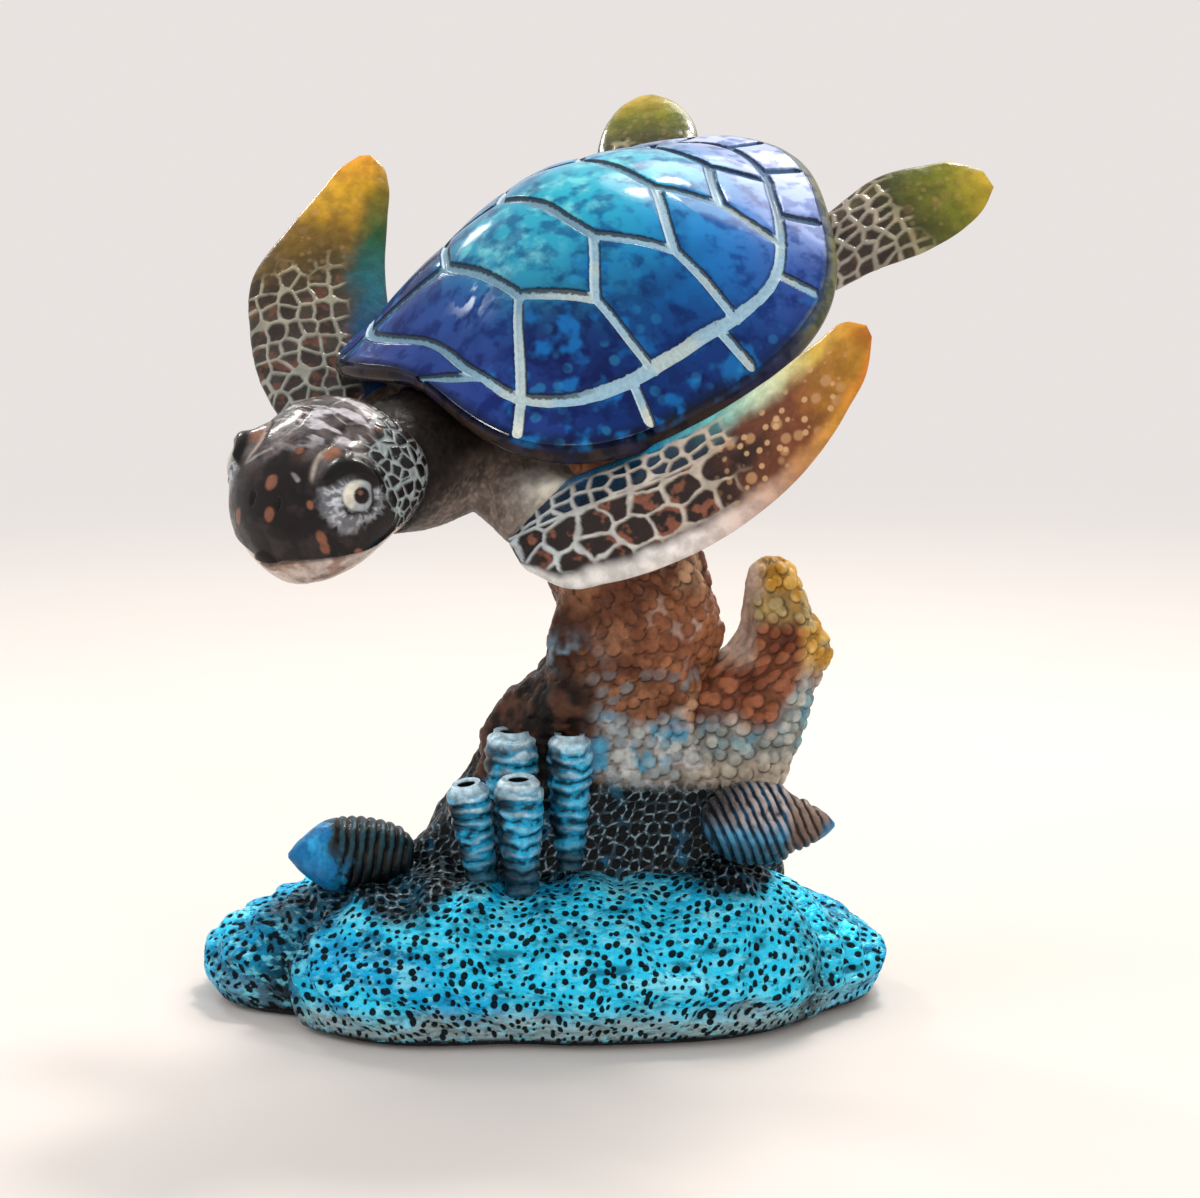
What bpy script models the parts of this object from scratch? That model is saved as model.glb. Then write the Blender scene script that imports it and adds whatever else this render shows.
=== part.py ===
"""Sea turtle figurine: a turtle swimming nose down over a coral column on a lumpy rock base.

Run with: blender --background --python part.py
Units are metres, +Z is up. The origin is on the underside of the felt pad, below the foot
of the coral column. The turtle's pieces are drawn in the turtle's own frame (+X to its nose,
+Y to its left, +Z to its back) and hang on one empty that holds its swimming pose.
"""

import bmesh
import bpy
import numpy as np
from mathutils import Euler, Matrix, Vector

MM = 0.001

# Glue and assembly gaps
GLUE_GAP = 0.3 * MM
PIN_CLEARANCE = 0.3 * MM

# Felt pad and rock base
FELT_THICKNESS = 0.8 * MM
FELT_INSET = 2.5 * MM
BASE_WIDTH = 93.0 * MM
BASE_DEPTH = 60.0 * MM
BASE_CENTRE_X = -0.5 * MM
BASE_CENTRE_Y = 12.5 * MM
BASE_SIDE_HEIGHT = 6.5 * MM
BASE_MOUND_HEIGHT = 15.5 * MM
BASE_UNDERCUT = 2.0 * MM
# How much lower the rock is along its back, as a share of its height
BASE_BACK_LOWER = 0.375
# Lobes of the rock seen from above: direction in degrees, push in mm, width in degrees
BASE_LOBES = (
    (190, 0.8, 12),
    (204, -4.5, 6),
    (231, 2.0, 15),
    (264, -1.0, 14),
    (320, 1.4, 16),
    (340, -1.0, 6),
    (354, 1.2, 12),
    (34, -2.5, 10),
    (62, 2.0, 16),
    (96, -2.0, 14),
    (126, 2.0, 16),
    (156, -3.0, 10),
)
# Lumps on top of the rock that the shells lie on: x, y, height and spread in mm
BASE_LUMPS = ((27.0, 0.0, 5.0, 8.0), (-26.0, 2.5, 2.0, 9.0))

# Lumps of the rock's skin: their height, how far apart they lie, and how far above the foot
# they have their full height
ROCK_LUMP = 0.55 * MM
ROCK_LUMP_SPACING = 7.0 * MM
ROCK_LUMP_FADE = 3.0 * MM

# Coral column: height above the rock's crest, left, right, front and back edge, all in mm
COLUMN_STATIONS = (
    (-7.1, -22.0, 32.0, -1.0, 22.0),
    (1.9, -15.5, 30.5, 1.0, 19.5),
    (7.9, -11.0, 29.5, 1.5, 18.0),
    (13.9, -8.0, 27.5, 1.5, 17.0),
    (18.9, -5.0, 24.5, 0.5, 17.0),
    (23.9, 0.0, 22.0, -1.0, 16.0),
    (28.9, 1.2, 23.0, -1.5, 15.5),
    (32.9, 1.8, 22.5, -1.5, 15.0),
    (37.9, 0.0, 20.5, -2.0, 14.5),
    (43.9, -3.0, 20.5, -3.5, 14.5),
)
COLUMN_LUMP = 1.1 * MM
# The crown that the turtle's belly sits in: left, right, front, back edge in mm
COLUMN_CROWN = (-4.0, 21.0, -3.0, 16.0)
CROWN_SINK = 1.5 * MM

# Coral branch: height above the rock's crest, left, right, front and back edge, all in mm
BRANCH_STATIONS = (
    (3.4, 22.0, 30.5, 4.0, 12.0),
    (7.9, 20.0, 32.0, 3.0, 13.0),
    (12.9, 19.0, 34.0, 1.5, 13.5),
    (17.9, 19.5, 35.5, 0.5, 13.5),
    (22.4, 20.5, 37.0, 1.5, 13.0),
    (25.4, 24.0, 38.0, 2.5, 12.0),
    (28.4, 26.4, 36.8, 3.2, 11.6),
    (32.4, 26.8, 35.0, 3.8, 11.0),
    (35.6, 27.2, 33.6, 4.4, 10.4),
    (37.4, 28.2, 32.4, 5.4, 9.6),
    (38.3, 29.6, 31.0, 6.8, 8.2),
)
BRANCH_LUMP = 0.6 * MM

# Tube sponges: name, foot x and y, lean of the top x and y, rise above the rock's crest and
# radius, all in mm
SPONGES = (
    ("tube_sponge_front_left", -8.0, -2.0, -2.2, -1.8, 9.9, 2.9),
    ("tube_sponge_front_centre", -3.0, -3.4, -0.3, -1.2, 10.7, 3.3),
    ("tube_sponge_rear_left", -4.6, 3.4, 0.2, -0.2, 15.5, 3.7),
    ("tube_sponge_right", 3.2, 1.4, 0.2, -0.3, 15.5, 3.1),
)
SPONGE_SINK = 5.0 * MM
SPONGE_OPENING_SHARE = 0.42
SPONGE_OPENING_DEPTH = 3.5 * MM

# Profiles of the shells from tip to mouth: share of the length and share of the radius
ACORN_PROFILE = (
    (0.0, 0.06),
    (0.06, 0.30),
    (0.16, 0.60),
    (0.28, 0.88),
    (0.40, 0.99),
    (0.54, 1.0),
    (0.70, 0.93),
    (0.84, 0.80),
    (0.95, 0.58),
    (1.0, 0.36),
)
TURRET_PROFILE = (
    (0.0, 0.06),
    (0.05, 0.22),
    (0.14, 0.42),
    (0.24, 0.60),
    (0.33, 0.70),
    (0.38, 0.86),
    (0.50, 0.97),
    (0.63, 1.0),
    (0.77, 0.93),
    (0.90, 0.70),
    (1.0, 0.34),
)
# Shells: name, place of tip and mouth (x, y, height above the rock's crest), largest radius,
# all in mm, and profile
SHELLS = (
    ("spiral_shell_left", (-34.3, 0.5, -1.1), (-17.8, 3.0, -1.4), 5.1, ACORN_PROFILE),
    ("spiral_shell_right", (38.6, -0.6, 3.4), (21.0, -3.0, 4.5), 5.6, TURRET_PROFILE),
)

# The turtle's swimming pose; its height is above the rock's crest
TURTLE_X = 5.3 * MM
TURTLE_Y = 0.1 * MM
TURTLE_HEIGHT = 73.5 * MM
TURTLE_ROLL = -14.9
TURTLE_NOSE_DOWN = 30.0
TURTLE_HEADING = -144.6

# Carapace
CARAPACE_LENGTH = 65.3 * MM
CARAPACE_WIDTH = 62.2 * MM
CARAPACE_RISE = 14.9 * MM
CARAPACE_RIM = 2.0 * MM
# The heart-shaped outline as waves of 1 to 5 turns about a circle
OUTLINE_WAVES = (-0.056, 0.040, -0.010, -0.036, -0.052)
RIM_SADDLE = 4.1 * MM
RIM_KICK = 1.55 * MM

# Body, neck, tail
BODY_SHARE = 0.84
BODY_DEPTH = 11.0 * MM
BODY_EDGE = 2.5 * MM
NECK_RADIUS = 8.6 * MM
NECK_SAG = 1.3 * MM
CHEST_RADIUS = 12.5 * MM
SHOULDER_REACH = 6.0 * MM
SHOULDER_HEIGHT = 4.2 * MM
SHOULDER_BACK = 3.0 * MM
SHOULDER_RISE = 1.5 * MM
CHEST_DROP = 7.5 * MM
TAIL_LENGTH = 10.0 * MM
TAIL_RADIUS = 3.0 * MM
TAIL_OVERLAP = 6.0 * MM
TAIL_DROP = 4.5 * MM
TAIL_DROOP = 1.1 * MM

# Head: how far it is ahead of the carapace, its place aside and its turn to the left,
# then its own sizes
HEAD_REACH = 12.6 * MM
HEAD_ASIDE = 0.2 * MM
HEAD_HEIGHT = 0.4 * MM
HEAD_TURN = 11.0
HEAD_LENGTH = 23.0 * MM
HEAD_WIDTH = 24.4 * MM
HEAD_TOP = 8.4 * MM
HEAD_CHIN = 9.2 * MM
BROW_BULGE = 1.0 * MM

# Flippers: thickness, lift of the tip, and for each one its root (shares of the carapace's
# half length and half width, and height in mm), its reach in mm, the twist of the blade in
# degrees, and its edges in mm: distance along, leading edge, trailing edge
FRONT_THICKNESS = 5.2 * MM
REAR_THICKNESS = 4.2 * MM
FRONT_CURL = 2.0 * MM
FRONT_LEFT = {
    "root": (0.80, 0.55, -11.0),
    "reach": (-33.0, 27.0, 15.0),
    "twist": 30,
    "edges": (
        (-5.0, 5.5, -0.5),
        (-1.5, 9.8, -2.4),
        (4.0, 12.2, -2.6),
        (14.0, 14.4, -1.0),
        (24.0, 14.4, 0.0),
        (33.0, 12.3, -0.2),
        (40.0, 8.6, -1.0),
        (44.5, 5.0, -1.0),
        (46.2, 2.2, 0.6),
    ),
}
FRONT_RIGHT = {
    "root": (0.80, -0.55, -9.0),
    "reach": (-30.0, -29.0, 15.5),
    "twist": -10,
    "edges": (
        (-6.0, 5.0, -3.5),
        (-1.0, 10.5, -4.0),
        (6.0, 14.6, -3.4),
        (16.0, 16.8, -2.2),
        (25.0, 16.4, -1.6),
        (32.5, 11.6, -2.0),
        (38.5, 7.0, -2.2),
        (42.0, 4.2, -1.2),
        (43.6, 1.8, 0.2),
    ),
}
REAR_LEFT = {
    "root": (-0.735, 0.58, -6.0),
    "reach": (-23.0, 10.5, 2.0),
    "twist": 25,
    "edges": (
        (-6.0, 2.6, -4.2),
        (0.0, 3.6, -5.6),
        (6.0, 3.6, -7.4),
        (14.0, 4.4, -8.8),
        (19.5, 3.8, -7.3),
        (23.0, 2.4, -5.8),
        (25.6, 0.2, -2.8),
    ),
}
REAR_RIGHT = {
    "root": (-0.735, -0.58, -6.0),
    "reach": (-19.0, -14.0, 4.0),
    "twist": 0,
    "edges": (
        (-6.0, 2.6, -4.2),
        (0.0, 4.0, -5.8),
        (6.0, 5.2, -7.4),
        (14.0, 6.6, -8.0),
        (19.5, 5.6, -5.4),
        (22.5, 3.8, -2.6),
        (24.0, 1.8, -0.2),
    ),
}

# Support pin between coral and turtle: its place, and how deep it stands in each
PIN_RADIUS = 1.5 * MM
PIN_X = 9.0 * MM
PIN_Y = 5.0 * MM
PIN_IN_CORAL = 15.0 * MM
PIN_IN_BODY = 8.0 * MM


def clear_scene():
    for item in list(bpy.data.objects):
        bpy.data.objects.remove(item)


def material(name, colour, roughness, metallic=0.0):
    found = bpy.data.materials.get(name)
    if found:
        return found
    made = bpy.data.materials.new(name)
    made.use_nodes = True
    shader = made.node_tree.nodes["Principled BSDF"]
    shader.inputs["Base Color"].default_value = (*colour, 1.0)
    shader.inputs["Roughness"].default_value = roughness
    shader.inputs["Metallic"].default_value = metallic
    made.diffuse_color = (*colour, 1.0)
    return made


def loft(name, rings, finish, parent=None):
    """A closed skin over rings of points, one row each, with a fan of faces over each end."""
    rings = np.asarray(rings, float)
    rows, around, _ = rings.shape
    mesh = bpy.data.meshes.new(name)
    work = bmesh.new()
    grid = [[work.verts.new(point) for point in ring] for ring in rings]
    first = work.verts.new(rings[0].mean(axis=0))
    last = work.verts.new(rings[-1].mean(axis=0))
    for row in range(rows - 1):
        for step in range(around):
            after = (step + 1) % around
            work.faces.new(
                (grid[row][step], grid[row][after], grid[row + 1][after], grid[row + 1][step])
            )
    for step in range(around):
        after = (step + 1) % around
        work.faces.new((first, grid[0][after], grid[0][step]))
        work.faces.new((last, grid[-1][step], grid[-1][after]))
    bmesh.ops.triangulate(work, faces=work.faces[:])
    bmesh.ops.recalc_face_normals(work, faces=work.faces[:])
    work.to_mesh(mesh)
    work.free()
    mesh.shade_smooth()
    mesh.materials.append(finish)
    piece = bpy.data.objects.new(name, mesh)
    bpy.context.collection.objects.link(piece)
    piece.parent = parent
    return piece


def hide(piece):
    piece.hide_render = True
    piece.display_type = "WIRE"


def grown(piece, gap):
    """A hidden copy of the piece, pushed out along its normals by the gap."""
    cutter = bpy.data.objects.new(piece.name + "_cutter", piece.data)
    bpy.context.collection.objects.link(cutter)
    cutter.parent = piece.parent
    push = cutter.modifiers.new("gap", "DISPLACE")
    push.strength = gap
    push.mid_level = 0.0
    hide(cutter)
    return cutter


def cut(piece, *others, gap=GLUE_GAP):
    """Makes room in the piece for the others, with the gap all round them."""
    for other in others:
        room = piece.modifiers.new("room for " + other.name, "BOOLEAN")
        room.operation = "DIFFERENCE"
        room.solver = "EXACT"
        room.object = grown(other, gap)


def join(piece, *others):
    """Casts the others in one with the piece."""
    for other in others:
        hide(other)
        cast = piece.modifiers.new("cast with " + other.name, "BOOLEAN")
        cast.operation = "UNION"
        cast.solver = "EXACT"
        cast.object = other


def smooth(keys, values, at):
    """A smooth curve through key values: Hermite pieces with Catmull-Rom slopes."""
    keys = np.asarray(keys, float)
    values = np.asarray(values, float)
    slopes = np.gradient(values, keys)
    at = np.clip(at, keys[0], keys[-1])
    cell = np.clip(np.searchsorted(keys, at, side="right") - 1, 0, len(keys) - 2)
    span = keys[cell + 1] - keys[cell]
    t = (at - keys[cell]) / span
    low, high = values[cell], values[cell + 1]
    rise = slopes[cell] * span
    fall = slopes[cell + 1] * span
    return (
        low * (2 * t**3 - 3 * t**2 + 1)
        + high * (3 * t**2 - 2 * t**3)
        + rise * (t**3 - 2 * t**2 + t)
        + fall * (t**3 - t**2)
    )


def turn(steps):
    """Angles once round, in radians."""
    return np.arange(steps) * 2 * np.pi / steps


# Felt pad and base


def base_outline(angle, inset=0.0):
    """Plan of the rock: an oval swollen and notched by its lobes."""
    degrees = np.degrees(angle)
    oval = 1 / np.hypot(
        np.cos(angle) / (BASE_WIDTH / 2), np.sin(angle) / (BASE_DEPTH / 2)
    )
    push = np.zeros_like(angle)
    for direction, size, width in BASE_LOBES:
        away = (degrees - direction + 180) % 360 - 180
        push = push + size * MM * np.exp(-((away / width) ** 2))
    radius = oval + push - inset
    return radius * np.cos(angle), radius * np.sin(angle)


def base_ring(share, height, inset=0.0, steps=112):
    x, y = base_outline(turn(steps), inset)
    x = x * share + BASE_CENTRE_X
    y = y * share + BASE_CENTRE_Y
    return np.stack([x, y, np.full_like(x, height)], axis=1)


def rock_foot():
    return FELT_THICKNESS + GLUE_GAP


def rock_crest():
    """Height of the highest part of the rock's mound."""
    return rock_foot() + BASE_SIDE_HEIGHT + BASE_MOUND_HEIGHT


def felt_pad():
    finish = material("black_felt", (0.02, 0.02, 0.025), 0.95)
    rings = [
        base_ring(1.0, 0.0, BASE_UNDERCUT + FELT_INSET),
        base_ring(1.0, FELT_THICKNESS, BASE_UNDERCUT + FELT_INSET),
    ]
    return loft("felt_pad", rings, finish)


def rock_height(share, x, y):
    """The mound over a share of the plan, lower at the back, with the lumps for the shells."""
    height = BASE_SIDE_HEIGHT + BASE_MOUND_HEIGHT * (1 - share**2.6) ** 0.72
    back = np.clip((y - BASE_CENTRE_Y) / BASE_DEPTH + 0.5, 0, 1)
    height = height * (1 - BASE_BACK_LOWER * (1 - (1 - share) ** 2) * back)
    for lump_x, lump_y, lump, spread in BASE_LUMPS:
        away = np.hypot(x - lump_x * MM, y - lump_y * MM) / (spread * MM)
        height = height + lump * MM * np.exp(-(away**2))
    return height


def lumpy(ring):
    """A ring with the lumps of the rock's skin: two waves across each other, which push it
    away from the middle of the foot."""
    x, y, z = ring[:, 0], ring[:, 1], ring[:, 2] - rock_foot()
    pace = 1.4 * np.pi / ROCK_LUMP_SPACING
    first = np.cos(pace * (x + 0.6 * z) + 1.2 * np.sin(0.6 * pace * y))
    second = np.cos(pace * (y - 1.3 * z) + 1.5 * np.sin(0.45 * pace * x))
    away = np.stack([x - BASE_CENTRE_X, y - BASE_CENTRE_Y, 2 * z], axis=1)
    away = away / np.linalg.norm(away, axis=1)[:, None]
    push = ROCK_LUMP * first * second * np.clip(z / ROCK_LUMP_FADE, 0, 1)
    return ring + push[:, None] * away


def base_rock():
    """The rock as rings: up the undercut side, over the shoulder, in and up to the mound."""
    finish = material("turquoise_rock", (0.02, 0.42, 0.62), 0.35, 0.4)
    rings = [
        base_ring(0.5, rock_foot(), BASE_UNDERCUT),
        base_ring(1.0, rock_foot(), BASE_UNDERCUT),
    ]
    for rise in (0.35, 0.7):
        side = base_ring(1.0, rock_foot(), BASE_UNDERCUT * (1 - rise) ** 2.2)
        side[:, 2] += rise * rock_height(1.0, side[:, 0], side[:, 1])
        rings.append(lumpy(side))
    over_shoulder = (1.0, 0.985, 0.95, 0.90)
    for share in (*over_shoulder, *np.arange(0.84, 0.05, -0.06)):
        ring = base_ring(share, rock_foot())
        ring[:, 2] += rock_height(share, ring[:, 0], ring[:, 1])
        rings.append(lumpy(ring))
    return loft("base_rock", rings, finish)


# Coral


def coral_ring(height, left, right, front, back, lump, waves, steps):
    """A rounded-square section between four edges, lumpy in waves about and along the coral."""
    angle = turn(steps)
    wobble = np.cos(waves * angle + height / (2.6 * MM)) + np.cos(
        (waves + 2) * angle - height / (4.1 * MM)
    )
    corner = (np.abs(np.cos(angle)) ** 2.6 + np.abs(np.sin(angle)) ** 2.6) ** (-1 / 2.6)
    x = (right - left) / 2 * corner + lump * wobble / 2
    y = (back - front) / 2 * corner + lump * wobble / 2
    return np.stack(
        [
            (left + right) / 2 + x * np.cos(angle),
            (front + back) / 2 + y * np.sin(angle),
            np.full_like(angle, height),
        ],
        axis=1,
    )


def coral_rings(stations, lump, waves, steps):
    """A ring at each station and one halfway to the next."""
    table = np.array(stations) * MM
    table[:, 0] += rock_crest()
    halves = np.arange(2 * len(stations) - 1) / 2
    heights = np.interp(halves, np.arange(len(stations)), table[:, 0])
    edges = [smooth(table[:, 0], table[:, column], heights) for column in range(1, 5)]
    return [coral_ring(*row, lump, waves, steps) for row in zip(heights, *edges)]


def belly_plane(x, y, pose):
    """Height of the turtle's belly over a point, as the plane through its lowest middle."""
    drop = CARAPACE_RIM + GLUE_GAP + BODY_EDGE + BODY_DEPTH
    middle = pose @ Vector((0, 0, -drop))
    up = pose.to_3x3() @ Vector((0, 0, 1))
    return middle.z - (up.x * (x - middle.x) + up.y * (y - middle.y)) / up.z


def coral_column(pose):
    """The column's level sections, then sections that tilt until they lie along the belly."""
    finish = material("brown_coral", (0.30, 0.14, 0.07), 0.45)
    steps = 26
    rings = coral_rings(COLUMN_STATIONS, COLUMN_LUMP, 5, steps)
    last = rings[-1]
    edges = [edge * MM for edge in COLUMN_CROWN]
    crown = coral_ring(0.0, *edges, COLUMN_LUMP, 5, steps)
    crown[:, 2] = belly_plane(crown[:, 0], crown[:, 1], pose) + CROWN_SINK
    for share in (0.25, 0.5, 0.75, 1.0):
        rings.append(last * (1 - share) + crown * share)
    return loft("coral_column", rings, finish)


def coral_branch():
    finish = material("golden_coral", (0.45, 0.32, 0.16), 0.45)
    return loft("coral_branch", coral_rings(BRANCH_STATIONS, BRANCH_LUMP, 4, 18), finish)


# Sponges and shells


def turned(name, foot, top, profile, finish, steps=16):
    """Rings of a profile (share along, radius) carried along the straight line foot to top."""
    foot, top = np.asarray(foot, float), np.asarray(top, float)
    along = (top - foot) / np.linalg.norm(top - foot)
    aside = np.cross(along, (0.0, 1.0, 0.0))
    aside = aside / np.linalg.norm(aside)
    across = np.cross(along, aside)
    angle = turn(steps)[:, None]
    rings = [
        foot + (top - foot) * share + radius * (np.cos(angle) * aside + np.sin(angle) * across)
        for share, radius in profile
    ]
    return loft(name, rings, finish)


def tube_sponge(name, foot_x, foot_y, lean_x, lean_y, rise, radius):
    finish = material("silver_blue_sponge", (0.10, 0.50, 0.66), 0.3, 0.4)
    foot = np.array([foot_x * MM, foot_y * MM, rock_crest() - SPONGE_SINK])
    top = np.array([(foot_x + lean_x) * MM, (foot_y + lean_y) * MM, rock_crest() + rise * MM])
    length = np.linalg.norm(top - foot)
    wide = radius * MM
    mouth = wide * SPONGE_OPENING_SHARE
    profile = [
        (0.0, wide * 0.72),
        (0.30, wide * 0.80),
        (0.62, wide * 0.94),
        (0.82, wide),
        (0.95, wide * 0.88),
        (1.0, wide * 0.66),
        (1.0 - 0.3 * MM / length, mouth),
        (1.0 - SPONGE_OPENING_DEPTH / length, mouth * 0.8),
    ]
    return turned(name, foot, top, profile, finish)


def spiral_shell(name, tip, mouth, radius, profile):
    """A shell lying on its side, turned from its profile."""
    finish = material("shell_blue", (0.05, 0.20, 0.30), 0.35, 0.2)
    crest = np.array((0.0, 0.0, rock_crest()))
    rings = [(share, wide * radius * MM) for share, wide in profile]
    return turned(name, np.array(tip) * MM + crest, np.array(mouth) * MM + crest, rings, finish, 20)


# Turtle


def turtle_matrix():
    turns = np.radians((TURTLE_ROLL, TURTLE_NOSE_DOWN, TURTLE_HEADING))
    place = Vector((TURTLE_X, TURTLE_Y, rock_crest() + TURTLE_HEIGHT))
    return Matrix.LocRotScale(place, Euler(turns, "XYZ"), None)


def turtle_pose():
    pose = bpy.data.objects.new("turtle_pose", None)
    bpy.context.collection.objects.link(pose)
    pose.matrix_world = turtle_matrix()
    return pose


def carapace_plan(share, angle):
    """Plan of the ring at a share of the outline: heart-shaped outside, rounder inside."""

    def heart(at, amount):
        swell = 1.0 + amount * sum(
            size * np.cos(wave * at) for wave, size in enumerate(OUTLINE_WAVES, start=1)
        )
        return swell * np.cos(at), swell * np.sin(at)

    whole_x, whole_y = heart(turn(720), 1.0)
    x, y = heart(angle, share**1.5)
    x = x * share * CARAPACE_LENGTH / np.ptp(whole_x)
    return x, y * share * CARAPACE_WIDTH / np.ptp(whole_y)


def rim_wave(share, angle):
    """The rim dips at the sides and lifts at the front and rear."""
    saddle = RIM_SADDLE * share**2 * np.cos(2 * angle)
    return saddle + RIM_KICK * share**3 * np.cos(3 * angle)


def carapace_ring(share, height, steps=40):
    """A ring at a share of the outline; height is a function of share and angle."""
    angle = turn(steps)
    x, y = carapace_plan(share, angle)
    return np.stack([x, y, height(share, angle)], axis=1)


def carapace_top(share, angle):
    dome = CARAPACE_RISE * (1 - share**2) ** 1.3
    return dome + rim_wave(share, angle)


def carapace_underside(share, angle):
    return rim_wave(share, angle) - CARAPACE_RIM


def carapace(pose):
    finish = material("blue_shell", (0.02, 0.16, 0.42), 0.15)
    top_shares = (0.08, 0.22, 0.36, 0.5, 0.64, 0.76, 0.86, 0.94, 1.0)
    rings = [carapace_ring(share, carapace_top) for share in top_shares]
    rings.append(
        carapace_ring(1.0, lambda share, angle: rim_wave(share, angle) - CARAPACE_RIM * 0.55)
    )
    rings += [carapace_ring(share, carapace_underside) for share in (0.975, 0.9, 0.75, 0.5, 0.2)]
    return loft("carapace", rings, finish, pose)


def body_ring(share, drop):
    """A ring of the body, its height measured down from the carapace's underside."""
    return carapace_ring(share, lambda at, angle: carapace_underside(at, angle) - drop)


def torso(pose):
    finish = material("grey_brown_skin", (0.16, 0.12, 0.10), 0.5)
    rings = [body_ring(share, GLUE_GAP) for share in (0.15, 0.4, 0.62, 0.76, BODY_SHARE)]
    rings.append(body_ring(BODY_SHARE + 0.02, GLUE_GAP + BODY_EDGE * 0.6))
    for share in (0.97, 0.86, 0.7, 0.5, 0.25):
        belly = BODY_DEPTH * (1 - share**2.2) ** 0.8
        rings.append(
            carapace_ring(
                BODY_SHARE * share,
                lambda at, angle, belly=belly: rim_wave(at, angle) * 0.6
                - CARAPACE_RIM
                - GLUE_GAP
                - BODY_EDGE
                - belly,
            )
        )
    return loft("turtle_body", rings, finish, pose)


def limb(name, points, radii, finish, pose, steps=18):
    """A round limb along a smooth path: key points and their radii across and up."""
    points = np.asarray(points, float)
    radii = np.asarray(radii, float)
    keys = np.arange(len(points))
    at = np.linspace(0, len(points) - 1, 3 * len(points) - 2)
    path = np.stack([smooth(keys, points[:, axis], at) for axis in range(3)], axis=1)
    wide = smooth(keys, radii[:, 0], at)
    high = smooth(keys, radii[:, 1], at)
    ahead = np.gradient(path, axis=0)
    ahead = ahead / np.linalg.norm(ahead, axis=1)[:, None]
    side = np.cross((0.0, 0.0, 1.0), ahead)
    side = side / np.linalg.norm(side, axis=1)[:, None]
    up = np.cross(ahead, side)
    angle = turn(steps)[:, None]
    rings = [
        path[row]
        + wide[row] * np.cos(angle) * side[row]
        + high[row] * np.sin(angle) * up[row]
        for row in range(len(at))
    ]
    return loft(name, rings, finish, pose)


def blade_root(sizes):
    along, aside, height = sizes["root"]
    return np.array([along * CARAPACE_LENGTH / 2, aside * CARAPACE_WIDTH / 2, height * MM])


def shoulders(pose, finish):
    """The bar of flesh across the chest that both front flippers grow from."""
    left, right = blade_root(FRONT_LEFT), blade_root(FRONT_RIGHT)
    middle = (left + right) / 2 + np.array((-SHOULDER_BACK, 0.0, SHOULDER_RISE))
    radii = [
        (SHOULDER_REACH, SHOULDER_HEIGHT),
        (SHOULDER_REACH * 1.2, SHOULDER_HEIGHT),
        (SHOULDER_REACH, SHOULDER_HEIGHT),
    ]
    return limb("shoulders", [left, middle, right], radii, finish, pose)


def head_middle():
    return np.array([CARAPACE_LENGTH / 2 + HEAD_REACH, HEAD_ASIDE, HEAD_HEIGHT])


def neck(pose, finish):
    """From the chest up into the back of the head."""
    end = head_middle() + np.array((-0.32 * HEAD_LENGTH, 0.0, -0.18 * (HEAD_TOP + HEAD_CHIN)))
    chest = np.array((0.37 * CARAPACE_LENGTH / 2, 0.0, -CHEST_DROP))
    sag = np.array((0.0, 0.0, NECK_SAG))
    points = [chest, chest * 0.6 + end * 0.4 - sag, chest * 0.27 + end * 0.73 - sag, end]
    radii = [
        (CHEST_RADIUS, NECK_RADIUS * 0.55),
        (CHEST_RADIUS * 0.95, NECK_RADIUS * 0.85),
        (NECK_RADIUS * 1.08, NECK_RADIUS * 0.97),
        (NECK_RADIUS * 0.95, NECK_RADIUS * 0.9),
    ]
    return limb("neck", points, radii, finish, pose)


def tail(pose, finish):
    root = CARAPACE_LENGTH / 2 - TAIL_OVERLAP
    end = root + TAIL_LENGTH
    points = [
        (-root, 0, -TAIL_DROP),
        (-(root + end) / 2, 0, -TAIL_DROP - 0.3 * TAIL_DROOP),
        (-end, 0, -TAIL_DROP - TAIL_DROOP),
    ]
    radii = [
        (TAIL_RADIUS, TAIL_RADIUS * 0.8),
        (TAIL_RADIUS * 0.6, TAIL_RADIUS * 0.5),
        (TAIL_RADIUS * 0.17, TAIL_RADIUS * 0.14),
    ]
    return limb("tail", points, radii, finish, pose, steps=12)


def head(pose):
    """Skull rings from the back to the beak, turned to one side, with a bulge over each eye."""
    finish = material("charcoal_head", (0.05, 0.045, 0.045), 0.3)
    stations = np.array((-0.47, -0.42, -0.3, -0.12, 0.08, 0.26, 0.38, 0.46, 0.5))
    half = (0.22, 0.36, 0.47, 0.5, 0.49, 0.42, 0.32, 0.2, 0.08)
    top = (0.5, 0.75, 0.95, 1.0, 0.96, 0.78, 0.5, 0.2, -0.1)
    chin = (0.4, 0.65, 0.85, 0.95, 1.0, 1.0, 0.92, 0.75, 0.5)
    aside = np.radians(HEAD_TURN)
    angle = turn(24)
    # The bulges lie 40 degrees up each side
    over_eye = np.exp(-(((np.abs(angle - np.pi / 2) - 0.87) / 0.35) ** 2))
    rings = []
    for station, wide, high, low in zip(stations, half, top, chin):
        brow = BROW_BULGE * over_eye * np.exp(-(((station - 0.1) / 0.12) ** 2))
        x = np.full_like(angle, station * HEAD_LENGTH)
        y = (wide * HEAD_WIDTH + brow) * np.cos(angle)
        middle = (high * HEAD_TOP - low * HEAD_CHIN) / 2
        z = middle + ((high * HEAD_TOP + low * HEAD_CHIN) / 2 + brow) * np.sin(angle)
        turned_x = x * np.cos(aside) - y * np.sin(aside)
        turned_y = x * np.sin(aside) + y * np.cos(aside)
        rings.append(head_middle() + np.stack([turned_x, turned_y, z], axis=1))
    return loft("head", rings, finish, pose)


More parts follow.
